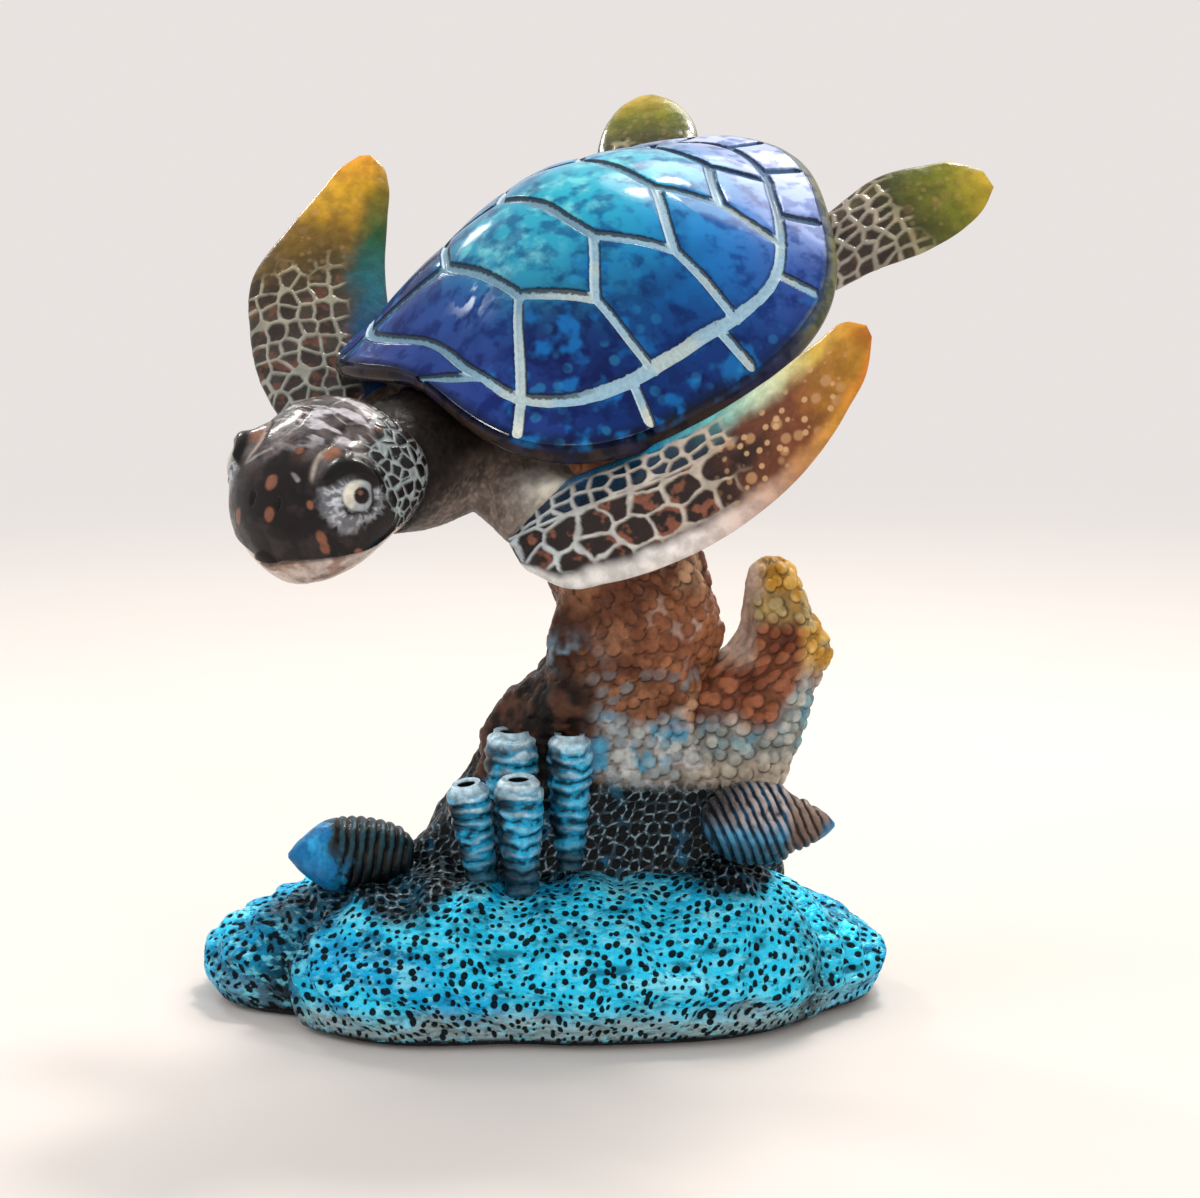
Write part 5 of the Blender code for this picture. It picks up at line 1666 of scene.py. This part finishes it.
def sponge_mesh(name, sizes, salt):
    """A tube sponge: a swelling tube wrapped in uneven wrinkles, with a round opening whose
    wall runs down inside."""
    foot_x, foot_y, lean_x, lean_y, rise, wide = sizes
    foot = np.array([foot_x, foot_y, CREST - SPONGE_SINK])
    top = np.array([foot_x + lean_x, foot_y + lean_y, CREST + rise])
    length = np.linalg.norm(top - foot)
    mouth = wide * SPONGE_OPENING_SHARE
    keys = np.array((0.0, 0.30, 0.62, 0.82, 0.95, 1.0))
    wall = np.array((0.72, 0.80, 0.94, 1.0, 0.88, 0.66)) * wide
    outer_share = np.linspace(0, 1, SPONGE_ROWS)
    outer = smooth(keys, wall, outer_share)
    lip = np.linspace(0, np.pi, SPONGE_LIP_ROWS + 1)[1:]
    lip_radius = (outer[-1] + mouth) / 2 + (outer[-1] - mouth) / 2 * np.cos(lip)
    lip_share = 1 - SPONGE_LIP / length * ease(0, np.pi, lip)
    down = np.linspace(0, SPONGE_OPENING_DEPTH, SPONGE_INNER_ROWS + 1)[1:]
    inner_share = 1 - SPONGE_LIP / length - down / length
    inner = np.linspace(mouth, mouth * 0.8, SPONGE_INNER_ROWS)
    share = np.concatenate([outer_share, lip_share, inner_share])[:, None]
    radius = np.concatenate([outer, lip_radius, inner])[:, None]
    rings = turned_rings(foot, top, share, radius, SPONGE_AROUND)
    sway = cloudy(rings, 2.6, salt)
    fine = cloudy(rings * (1, 1, 1.6), 0.9, salt + 3)
    wrap = cloudy(rings * (0.35, 0.35, 1.0), 0.95, salt + 5, 2)
    folds = np.cos(2 * np.pi * (share * length / WRINKLE_PITCH + sway + 0.7 * wrap))
    outside = np.zeros(folds.shape)
    outside[:SPONGE_ROWS] = 1
    push = WRINKLE_HEIGHT * folds - SPONGE_SINK_IN + SPONGE_GRAIN * (fine - 0.5)
    rings = pushed(rings, push * outside * ease(0, 0.04, 1.02 - share))
    # Silver-white on the wrinkles' crests and near the rim is silver paint with painted highlight;
    # near-black in the wrinkles' troughs and down the left side is painted shade
    left = ease(0.3, -0.75, (rings[..., 0] - rings[..., 0].mean(1, keepdims=True)) / wide)
    silver_and_highlight = ease(-0.1, 0.95, folds + 0.6 * (fine - 0.5))
    foot_dark = ease(0.42, 0.26, share + 0.1 * sway)
    silver = coats(
        "1c88b0",
        ("b9d0d8", silver_and_highlight * (0.35 + 0.55 * ease(0.5, 1.0, share))),
        ("26b4e0", ease(0.46, 0.6, sway) * 0.5),
        ("07141c", ease(-0.45, -0.92, folds) * ease(0.68, 0.46, fine) * 0.9),
        ("cfe2e8", ease(0.86, 0.97, share) * 0.6),
        ("060c12", left * ease(0.66, 0.46, sway) * ease(0.97, 0.84, share) * 0.95),
        ("10181c", foot_dark * 0.8),
    )
    inside = np.zeros(folds.shape)
    inside[SPONGE_ROWS + SPONGE_LIP_ROWS :] = 1
    paint = over(silver, "0a1216", inside)
    return skin(name + "_skin", rings, paint=paint)


def shell_rings(ends, rib_pitch, slant, plain_tip, salt):
    """A shell turned from its profile, ribbed across, its ribs slanted, plain at its tip.
    Gives the rings and, for each point, the share from tip to mouth, the height of the rib,
    a fine noise and how far up it lies."""
    tip, mouth, wide, profile = ends
    foot = np.array(tip) + (0, 0, CREST)
    top = np.array(mouth) + (0, 0, CREST)
    length = np.linalg.norm(top - foot)
    keys, walls = np.array(profile).T
    share = (1 - (1 - np.linspace(0, 1, SHELL_ROWS)) ** 1.2)[:, None] * np.ones(SHELL_AROUND)
    angle = turn(SHELL_AROUND)[None]
    radius = smooth(keys, walls, share) * wide
    rings = turned_rings(foot, top, share, radius, SHELL_AROUND)
    fine = cloudy(rings, 1.4, salt)
    climb = (share * length + slant * radius * np.cos(angle) + 0.5 * fine) / rib_pitch
    rib = np.abs(np.cos(np.pi * climb)) ** 0.7
    ribbed = ease(plain_tip, plain_tip + 0.05, share) * ease(1.0, 0.93, share)
    push = RIB_HEIGHT * (rib - 0.85) * ribbed + SHELL_GRAIN * (fine - 0.5)
    rings = pushed(rings, push * ease(0, 0.1, share))
    high = ease(-3, 4, rings[..., 2] - rings[..., 2].mean(1, keepdims=True))
    return rings, share, rib, fine, high


def left_shell_mesh():
    """The left shell: an azure tip and dark teal ribs, lighter on its upper side as painted
    highlight.
    """
    rings, share, rib, fine, high = shell_rings(SHELL_LEFT, **LEFT_RIBS)
    # Lighter on the upper side and on the upper ribs' crests: painted highlight
    dark = coats(
        "040608",
        ("23424c", ease(0.6, 1.0, rib) * high),
        ("352b26", ease(0.5, 0.65, fine) * high * 0.35),
        ("13668c", ease(0.6, 0.4, share) * ease(0.5, 0.6, fine) * ease(1, 0, high) * 0.8),
    )
    paint = coats(
        "0c6294",
        ("2a96c8", ease(0.3, 0.7, fine) * high),
        (dark, ease(0.33, 0.42, share + 0.25 * (fine - 0.5) + 0.06 * high)),
    )
    return skin("spiral_shell_left_skin", rings, paint=paint)


def right_shell_mesh():
    """The right shell: slanted ribs, silver-pink on their upper side partly as painted highlight,
    with blue grooves, painted shade underneath, a brown spire lighter on top and a blue tip.
    """
    rings, share, rib, fine, high = shell_rings(SHELL_RIGHT, **RIGHT_RIBS)
    # Silver-pink on the ribs' upper side is partly a painted highlight, near-black underneath is
    # painted shade, and the spire's ribs are lighter on top as painted highlight
    blue = over("0a2234", "144a6a", ease(0.5, 0.66, fine))
    ridge = over("4a86a4", "a59a97", ease(0.25, 0.8, high))
    body = coats(
        blue,
        (ridge, ease(0.55, 0.95, rib) * ease(0.15, 0.45, fine)),
        ("080a0e", ease(0.7, 1.05, share + 0.35 * high - 0.2) * 0.85),
        ("080a0e", ease(0.25, 0.0, high) * 0.6),
    )
    spire = over("2a1f1c", "8a756a", ease(0.4, 0.95, rib) * (0.3 + 0.7 * high))
    paint = coats(
        spire,
        (body, ease(0.36, 0.44, share)),
        ("1c7aa8", ease(0.18, 0.08, share + 0.2 * (fine - 0.5) + 0.12 * high)),
    )
    return skin("spiral_shell_right_skin", rings, paint=paint)


# Rock base


def base_outline(angle, inset):
    """Plan of the rock: an oval swollen and notched by its lobes, each a bell of the angle."""
    degrees = np.degrees(angle)
    radius = 1 / np.hypot(np.cos(angle) / (BASE_WIDTH / 2), np.sin(angle) / (BASE_DEPTH / 2))
    for direction, size, width in BASE_LOBES:
        radius = radius + size * bell((degrees - direction + 180) % 360 - 180, width)
    return (radius - inset) * np.cos(angle), (radius - inset) * np.sin(angle)


def rock_height(share, x, y):
    """Height of the mound over a share of the plan, lower at the back, with its lumps."""
    height = BASE_SIDE_HEIGHT + BASE_MOUND_HEIGHT * (1 - share**2.6) ** 0.72
    back = np.clip((y - BASE_CENTRE[1]) / BASE_DEPTH + 0.5, 0, 1)
    height = height * (1 - BASE_BACK_LOWER * (1 - (1 - share) ** 2) * back)
    for lump_x, lump_y, lump, spread in BASE_LUMPS:
        height = height + lump * bell(np.hypot(x - lump_x, y - lump_y), spread)
    return height


def rock_rings(around):
    """Rings of the rock: under it, up its undercut side, over the shoulder and in."""
    angle = turn(around)[None]
    under = np.linspace(0.05, 1.0, ROCK_UNDER_ROWS)[:, None]
    x, y = base_outline(angle, BASE_UNDERCUT)
    rings = [np.stack([x * under, y * under, FELT_TOP + 0 * x * under], axis=2)]
    rise = np.linspace(0, 1, ROCK_SIDE_ROWS + 1)[1:, None]
    x, y = base_outline(angle, BASE_UNDERCUT * (1 - rise) ** 2.2)
    side_top = rock_height(1.0, x + BASE_CENTRE[0], y + BASE_CENTRE[1])
    rings.append(np.stack([x, y, FELT_TOP + rise * side_top], axis=2))
    share = 1 - np.linspace(0, 1, ROCK_TOP_ROWS + 2)[1:-1, None] ** 1.15 * 0.985
    x, y = base_outline(angle, 0)
    x, y = x * share, y * share
    height = rock_height(share, x + BASE_CENTRE[0], y + BASE_CENTRE[1])
    rings.append(np.stack([x, y, FELT_TOP + height], axis=2))
    return np.concatenate(rings) + np.array((*BASE_CENTRE, 0.0))


def lumpy(rings):
    """The rock's rings with its skin's lumps: two waves across each other, which push it
    away from the middle of its foot."""
    x, y, z = np.moveaxis(rings - (0, 0, FELT_TOP), -1, 0)
    pace = 1.4 * np.pi / ROCK_LUMP_SPACING
    first = np.cos(pace * (x + 0.6 * z) + 1.2 * np.sin(0.6 * pace * y))
    second = np.cos(pace * (y - 1.3 * z) + 1.5 * np.sin(0.45 * pace * x))
    away = np.stack([x - BASE_CENTRE[0], y - BASE_CENTRE[1], 2 * z], axis=-1)
    away /= np.linalg.norm(away, axis=-1, keepdims=True)
    push = ROCK_LUMP * first * second * np.clip(z / ROCK_LUMP_FADE, 0, 1)
    return rings + push[..., None] * away


def pit_places(flat, salt):
    """Over a skin laid flat, in mm: the lot of the nearest of the scattered pits, and the
    distances to its middle and to the line midway to the next, in pit spacings."""
    spots = flat / PIT_SPACING
    cell = np.floor(spots).astype(int)
    draws = np.random.default_rng(salt).random((PIT_CELLS, PIT_CELLS, 3))
    nearest = np.full(spots.shape[:-1], 9.0)
    second = nearest
    lot = np.zeros(spots.shape[:-1])
    for beside in np.ndindex(3, 3):
        other = cell + beside - 1
        draw = draws[other[..., 0] % PIT_CELLS, other[..., 1] % PIT_CELLS]
        middle = other + 0.5 + PIT_SCATTER * (draw[..., :2] - 0.5)
        away = np.linalg.norm(spots - middle, axis=-1)
        closer = away < nearest
        second = np.where(closer, nearest, np.minimum(second, away))
        lot = np.where(closer, draw[..., 2], lot)
        nearest = np.where(closer, away, nearest)
    return lot, nearest, (second - nearest) / 2


def rock_mesh(pit_size):
    """The rock: lumpy, creased by brush-like ripples and pitted. The pits are laid out on its
    skin unrolled from its top, so that they stay round on its sides."""
    rings = lumpy(rock_rings(ROCK_AROUND))
    step = np.linalg.norm(np.diff(rings[::-1], axis=0), axis=2)
    inmost = np.full((1, ROCK_AROUND), 0.5)
    reach = np.concatenate([inmost, np.cumsum(step, axis=0) + 0.5])[::-1]
    x, y, z = np.moveaxis(rings, -1, 0)
    bearing = np.arctan2(y - BASE_CENTRE[1], x - BASE_CENTRE[0])
    unrolled = np.stack([reach * np.cos(bearing), reach * np.sin(bearing), 0 * reach], axis=2)
    wave = cloudy(rings * (0.5, 0.5, 1.4), 2.2, 85) - 0.5
    shade = cloudy(rings, 4.5, 87)
    broad = cloudy(rings, 11.0, 89)
    wander = cloudy(rings, 2.6, 91)
    # The relief fades out above the felt
    above = ease(0.1, 1.2, z - FELT_TOP)
    push = (CRINKLE_HEIGHT * wave + ROCK_SWELL * (shade - 0.5) - ROCK_SINK) * above
    rings = pushed(rings, push)

    low = ease(5.5, 2.0, z - FELT_TOP + 4 * (shade - 0.5)) * ease(8, -8, y)
    degrees = np.degrees(bearing) % 360
    notch = bell(degrees - 206, 8.0) + 0.8 * bell(degrees - 333, 4.5)
    left_lobe = bell(degrees - 193, 16.0) * ease(0.42, 0.62, wander)
    black_above = 20.4 - 5 * bell(x + 19, 7) - 2.5 * bell(x - 27, 6) + 3.5 * (broad - 0.5)
    foot = ease(-1.2, 1.2, z - black_above + 1.5 * wave)
    creases = ease(0.42, 0.32, broad) * ease(11, 15, z) * ease(14, 4, y)
    foot = np.maximum(foot, creases * 0.8)
    paint = coats(
        "12a8dc",
        ("2accf2", ease(0.36, 0.56, broad + 0.4 * wave)),
        # Pale paint on the crinkles' crests is a painted highlight, and dark paint in their hollows
        # is painted shade
        ("8fe6f6", ease(0.06, 0.22, wave) * ease(0.42, 0.6, shade) * 0.6),
        ("043248", ease(-0.06, -0.22, wave) * 0.6),
        ("9aa6a2", low * 0.85),
        ("0a1016", notch * ease(17, 7, z) * ease(0.2, 0.5, shade + wave + 0.15)),
        ("06141d", left_lobe * 0.45),
        (over("070b0f", "14506a", ease(0.55, 0.7, shade)), foot),
        ("04090d", ease(0.9, 0.1, z - FELT_TOP)),
    )
    lot, middle, edge = pit_places(unrolled[..., :2], 93)
    away = middle / ((PIT_REACH + PIT_REACH_LOT * lot) * pit_size + PIT_REACH_FOOT * foot)
    rings = pushed(rings, -PIT_DEPTH * ease(1.2, 0.5, away) * above)
    kept = {"pit_away": away, "pit_edge": edge, "paint": paint, "foot": foot}
    mesh = skin("rock_base_skin", rings, **kept)
    keep_place(mesh, "unrolled", with_ends(unrolled))
    return mesh


def rock_finish(metal):
    """Metallic paint with crinkled light strokes, darker as painted shade where the crinkle's bump is
    low, on rock drilled with round black pits.
    """
    made, tree, shader = new_material("metallic_rock")
    at = place(tree, (0.7, 0.7, 1.3))
    crinkle = grain(tree, at, 0.8, 5.0)
    strokes = grain(tree, at, 1.3, 3.0)
    foot = attribute(tree, "foot")
    colour = attribute(tree, "paint", True)
    clear = maths(tree, "SUBTRACT", 1.0, foot)
    light = product(tree, step_of(tree, strokes, 0.5, 0.66, 0.0, 0.52), clear)
    colour = mixed(tree, light, colour, "7fe6fa")
    # Darker where the crinkle's bump is low: painted shade in its hollows
    colour = mixed(tree, step_of(tree, crinkle, 0.45, 0.32, 0.0, 0.6), colour, "04304e")
    away, edge = attribute(tree, "pit_away"), attribute(tree, "pit_edge")
    colour, pit = drilled(tree, colour, foot, away, edge)
    rough = step_of(tree, crinkle, 0.3, 0.7, 0.25, 0.5)
    shine = product(tree, maths(tree, "SUBTRACT", 1.0, pit), metal)
    tree.links.new(shine, shader.inputs["Metallic"])
    height = maths(tree, "SUBTRACT", product(tree, crinkle, 0.5), product(tree, pit, 0.3))
    set_surface(tree, shader, colour, rough, height, 1.0, Specular_IOR_Level=SHEEN)
    return made


# Felt pad and pin


def felt_finish():
    """Black felt: short tangled fibres."""
    made, tree, shader = new_material("black_felt_pad")
    fibre = grain(tree, place(tree), 0.35, 6.0)
    colour = mixed(tree, step_of(tree, fibre, 0.35, 0.7), "121214", "2a2a2e")
    rough = step_of(tree, fibre, 0.3, 0.7, 0.85, 1.0)
    set_surface(tree, shader, colour, rough, fibre, 0.15, Sheen_Weight=0.4)
    return made


def pin_finish():
    """Drawn steel: fine scratches along the pin."""
    made, tree, shader = new_material("drawn_steel_pin")
    scratch = grain(tree, place(tree, (1.0, 1.0, 0.08)), 0.25, 4.0)
    colour = mixed(tree, step_of(tree, scratch, 0.3, 0.7), "8f9196", "b4b6ba")
    rough = step_of(tree, scratch, 0.3, 0.7, 0.25, 0.45)
    set_surface(tree, shader, colour, rough, scratch, 0.01, Metallic=1.0)
    return made


# Stage

# Half the floor's side, in metres
FLOOR_REACH = 4.0
# Camera: place in metres, tilt in degrees and lens in mm
CAMERA_PLACE = (0.00742, -0.33581, 0.11002)
CAMERA_TILT = 81.0
CAMERA_LENS = 77.57
# Where the lamps point, in metres
LAMP_AIM = (0.0, 0.0, 0.07)
# Lamps: name, place in metres, size in metres, watts, colour, whether it shows as a highlight
LAMPS = (
    ("window_lamp", (0.22, 0.42, 0.70), 0.5, 4.0, "fff8f0", True),
    ("glint_lamp", (0.12, 0.22, 0.62), 0.09, 1.3, "fffaf4", True),
    ("brow_lamp", (-0.35, 0.44, 0.48), 0.12, 0.8, "fffdf8", True),
    ("side_lamp", (-0.6, -0.25, 0.5), 0.5, 2.2, "f4f7ff", False),
    ("front_lamp", (0.25, -0.75, 0.35), 0.5, 2.8, "ffffff", False),
)


def add_camera():
    camera = bpy.data.cameras.new("photo_camera")
    camera.lens = CAMERA_LENS
    camera.sensor_width = 36.0
    camera.sensor_fit = "HORIZONTAL"
    camera.clip_start = 0.01
    holder = bpy.data.objects.new("photo_camera", camera)
    holder.location = CAMERA_PLACE
    holder.rotation_euler = (np.radians(CAMERA_TILT), 0.0, 0.0)
    bpy.context.scene.collection.objects.link(holder)
    bpy.context.scene.camera = holder


def add_lamps(strength):
    for name, spot, size, watts, colour, shows in LAMPS:
        light = bpy.data.lights.new(name, "AREA")
        light.shape = "DISK"
        light.size = size
        light.energy = watts * strength
        light.color = tint(colour)
        lamp = bpy.data.objects.new(name, light)
        lamp.location = spot
        lamp.visible_glossy = shows
        aim = Vector(LAMP_AIM) - Vector(spot)
        lamp.rotation_euler = aim.to_track_quat("-Z", "Y").to_euler()
        bpy.context.scene.collection.objects.link(lamp)


def add_world(sky, strength):
    """A soft even sky; a camera, glossy or clear ray that meets it sees the pale backdrop."""
    world = bpy.data.worlds.new("soft_room")
    world.use_nodes = True
    bpy.context.scene.world = world
    tree = world.node_tree
    tree.nodes.clear()
    path = node(tree, "LightPath")
    seen = maths(tree, "MAXIMUM", path.outputs["Is Camera Ray"], path.outputs["Is Transmission Ray"])
    seen = maths(tree, "MAXIMUM", seen, path.outputs["Is Glossy Ray"])
    light = node(tree, "Background", {"Color": (1, 1, 1, 1), "Strength": strength})
    backdrop = node(tree, "Background", {"Color": rgba(sky), "Strength": 1.0})
    inputs = {0: seen, 1: light.outputs[0], 2: backdrop.outputs[0]}
    both = node(tree, "MixShader", inputs)
    out = node(tree, "OutputWorld")
    tree.links.new(both.outputs[0], out.inputs["Surface"])


def add_floor(colour, backdrop):
    """A pale level floor. Away from the figurine it fades into the backdrop's colour."""
    corners = [(x * FLOOR_REACH, y * FLOOR_REACH, 0) for x, y in ((-1, -1), (1, -1), (1, 1), (-1, 1))]
    mesh = bpy.data.meshes.new("floor")
    mesh.from_pydata(corners, [], [(0, 1, 2, 3)])
    floor = bpy.data.objects.new("floor", mesh)
    bpy.context.scene.collection.objects.link(floor)
    made, tree, shader = new_material("pale_floor")
    at = place(tree)
    soft = grain(tree, at, 120.0, 3.0)
    light = rgba(colour)
    dim = rgba(np.array(colour) * 0.975)
    mottled = mixed(tree, step_of(tree, soft, 0.4, 0.6), light, dim)
    tree.links.new(mottled, shader.inputs["Base Color"])
    shader.inputs["Roughness"].default_value = 0.6
    away = node(tree, "VectorMath", {0: at}, operation="LENGTH").outputs["Value"]
    path = node(tree, "LightPath")
    seen = maths(tree, "MAXIMUM", path.outputs["Is Camera Ray"], path.outputs["Is Glossy Ray"])
    fade = product(tree, step_of(tree, away, 0.12, 0.7), seen)
    far = node(tree, "Emission", {"Color": rgba(backdrop), "Strength": 1.0})
    both = node(tree, "MixShader", {0: fade, 1: shader.outputs[0], 2: far.outputs[0]})
    tree.links.new(both.outputs[0], tree.nodes["Material Output"].inputs["Surface"])
    mesh.materials.append(made)


# Settings that a user would change


def size(label, hint, default, least, most):
    return bpy.props.FloatProperty(
        name=label, description=hint, default=default * MM, min=least * MM, max=most * MM,
        subtype="DISTANCE", unit="LENGTH", precision=5,
    )


def share_of(label, hint, default, least=0.0, most=1.0):
    return bpy.props.FloatProperty(
        name=label, description=hint, default=default, min=least, max=most, subtype="FACTOR"
    )


def shade_of(label, hint, code):
    return bpy.props.FloatVectorProperty(
        name=label, description=hint, default=tint(code), min=0, max=1, size=3, subtype="COLOR"
    )


class TurtleLooks(bpy.types.PropertyGroup):
    """Sizes and finish of the turtle."""

    seam_width: size("Seam width", "Width of the grooves between the scutes", 1.25, 0.4, 3)
    seam_depth: size("Seam depth", "Depth of the grooves between the scutes", 0.5, 0.1, 1)
    wrinkle: size("Neck wrinkle", "Height of the folds round the neck", 0.3, 0.0, 0.6)
    eye_scale: share_of("Eye size", "Size of the eyes against the photographed ones", 1.0, 0.5, 1.4)
    glaze: share_of("Glaze roughness", "Roughness of the carapace's glaze", 0.16)


class ReefLooks(bpy.types.PropertyGroup):
    """Sizes and colours of the coral, sponges, shells and rock."""

    polyp: size("Polyp size", "Spacing of the coral's polyps", 1.9, 1.0, 4.0)
    pit_scale: share_of("Pit size", "Size of the rock's pits against the real ones", 1.0, 0.6, 1.6)
    metal: share_of("Metallic paint", "How metallic the rock's paint is", 0.45)


class StageLooks(bpy.types.PropertyGroup):
    """The floor, the backdrop and the light."""

    floor: shade_of("Floor", "Colour of the floor", "d6cec8")
    backdrop: shade_of("Backdrop", "Colour behind the floor", "e8e3e0")
    sky: share_of("Sky light", "Strength of the even light from all round", 0.6, 0.0, 2.0)
    lamps: share_of("Lamp light", "Strength of the lamps", 1.0, 0.0, 3.0)


# Operators, one for each piece or group of like pieces


class TURTLE_OT_carapace(bpy.types.Operator):
    """Make the domed carapace with its seams and glaze"""

    bl_idname = "turtle.carapace"
    bl_label = "Carapace"

    def execute(self, context):
        looks = context.scene.turtle_looks
        mesh = carapace_mesh(looks.seam_width / MM, looks.seam_depth / MM)
        add_piece(mesh, carapace_finish(looks.glaze), "carapace")
        return {"FINISHED"}


class TURTLE_OT_body(bpy.types.Operator):
    """Make the torso, neck, shoulders and tail as one wrinkled skin"""

    bl_idname = "turtle.body"
    bl_label = "Body"

    def execute(self, context):
        mesh = body_mesh(context.scene.turtle_looks.wrinkle / MM)
        looks = {"sheen": (0.35, 0.6), "blotch": (1.6, 0.25), "bump": (0.5, 0.05), "coat": 0.04}
        finish = painted("speckled_skin", **looks)
        add_piece(mesh, finish, "turtle_body")
        return {"FINISHED"}


class TURTLE_OT_head(bpy.types.Operator):
    """Make the head with its eyes, brows, plates and beak"""

    bl_idname = "turtle.head"
    bl_label = "Head"

    def execute(self, context):
        mesh = head_mesh(context.scene.turtle_looks.eye_scale)
        looks = {"sheen": (0.18, 0.4), "blotch": (1.2, 0.2), "bump": (0.6, 0.03), "coat": 0.25}
        finish = painted("glossy_head", **looks)
        add_piece(mesh, finish, "head")
        return {"FINISHED"}


class TURTLE_OT_flippers(bpy.types.Operator):
    """Make the four scaled flippers"""

    bl_idname = "turtle.flippers"
    bl_label = "Flippers"

    def execute(self, context):
        looks = {"sheen": (0.16, 0.34), "blotch": (2.0, 0.22), "bump": (0.5, 0.03), "coat": 0.32}
        finish = painted("glossy_scales", flecks=FLIPPER_FLECKS, **looks)
        for name, making in FLIPPER_MAKING.items():
            add_piece(flipper_mesh(name, *making), finish, name)
        return {"FINISHED"}


class TURTLE_OT_coral(bpy.types.Operator):
    """Make the coral column and its branch"""

    bl_idname = "turtle.coral"
    bl_label = "Coral"

    def execute(self, context):
        looks = context.scene.reef_looks
        column = column_finish(looks.pit_scale)
        add_piece(column_mesh(looks.polyp / MM), column, "coral_column")
        paint = {"sheen": (0.3, 0.55), "blotch": (1.2, 0.22), "bump": (0.45, 0.05), "coat": 0.06}
        branch = painted("painted_branch", **paint)
        add_piece(branch_mesh(looks.polyp / MM), branch, "coral_branch")
        return {"FINISHED"}


class TURTLE_OT_sponges(bpy.types.Operator):
    """Make the four tube sponges"""

    bl_idname = "turtle.sponges"
    bl_label = "Tube sponges"

    def execute(self, context):
        looks = {"sheen": (0.25, 0.45), "blotch": (0.9, 0.25), "bump": (0.4, 0.06), "coat": 0.15}
        finish = painted("silvered_sponge", metal=0.35, **looks)
        for number, (name, sizes) in enumerate(SPONGES.items()):
            add_piece(sponge_mesh(name, sizes, 170 + 10 * number), finish, name)
        return {"FINISHED"}


class TURTLE_OT_turrets(bpy.types.Operator):
    """Make the two turret shells"""

    bl_idname = "turtle.turrets"
    bl_label = "Turret shells"

    def execute(self, context):
        looks = {"sheen": (0.25, 0.45), "blotch": (1.0, 0.2), "bump": (0.4, 0.05), "coat": 0.1}
        finish = painted("painted_turret", metal=0.1, **looks)
        add_piece(left_shell_mesh(), finish, "spiral_shell_left")
        add_piece(right_shell_mesh(), finish, "spiral_shell_right")
        return {"FINISHED"}


class TURTLE_OT_rock(bpy.types.Operator):
    """Make the pitted rock base"""

    bl_idname = "turtle.rock"
    bl_label = "Rock base"

    def execute(self, context):
        looks = context.scene.reef_looks
        finish = rock_finish(looks.metal)
        add_piece(rock_mesh(looks.pit_scale), finish, "base_rock")
        return {"FINISHED"}


class TURTLE_OT_hidden_parts(bpy.types.Operator):
    """Finish the felt pad under the rock and the steel pin inside the coral"""

    bl_idname = "turtle.hidden_parts"
    bl_label = "Felt pad and pin"

    def execute(self, context):
        finishes = {"felt_pad": felt_finish(), "support_pin": pin_finish()}
        for name, finish in finishes.items():
            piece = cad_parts[name]
            for slot in piece.material_slots:
                slot.material = finish
        return {"FINISHED"}


class TURTLE_OT_stage(bpy.types.Operator):
    """Set the floor, the light and the camera"""

    bl_idname = "turtle.stage"
    bl_label = "Stage"

    def execute(self, context):
        looks = context.scene.stage_looks
        add_floor(looks.floor, looks.backdrop)
        add_world(looks.backdrop, looks.sky)
        add_lamps(looks.lamps)
        add_camera()
        context.scene.view_settings.view_transform = "Standard"
        return {"FINISHED"}


class TURTLE_PT_panel(bpy.types.Panel):
    """The figurine's pieces and settings"""

    bl_label = "Sea Turtle Figurine"
    bl_idname = "TURTLE_PT_panel"
    bl_space_type = "VIEW_3D"
    bl_region_type = "UI"
    bl_category = "Turtle"

    def draw(self, context):
        for group in ("turtle_looks", "reef_looks", "stage_looks"):
            looks = getattr(context.scene, group)
            for name in looks.__annotations__:
                self.layout.prop(looks, name)
        for operator in OPERATORS:
            self.layout.operator(operator.bl_idname)


GROUPS = {"turtle_looks": TurtleLooks, "reef_looks": ReefLooks, "stage_looks": StageLooks}
OPERATORS = (
    TURTLE_OT_stage,
    TURTLE_OT_rock,
    TURTLE_OT_coral,
    TURTLE_OT_sponges,
    TURTLE_OT_turrets,
    TURTLE_OT_body,
    TURTLE_OT_carapace,
    TURTLE_OT_head,
    TURTLE_OT_flippers,
    TURTLE_OT_hidden_parts,
)


def register():
    for kind in (*GROUPS.values(), *OPERATORS, TURTLE_PT_panel):
        bpy.utils.register_class(kind)
    for name, group in GROUPS.items():
        setattr(bpy.types.Scene, name, bpy.props.PointerProperty(type=group))


def unregister():
    for name in GROUPS:
        delattr(bpy.types.Scene, name)
    for kind in reversed((*GROUPS.values(), *OPERATORS, TURTLE_PT_panel)):
        bpy.utils.unregister_class(kind)


def main():
    register()
    for operator in OPERATORS:
        family, name = operator.bl_idname.split(".")
        getattr(getattr(bpy.ops, family), name)()


if __name__ == "__main__":
    main()
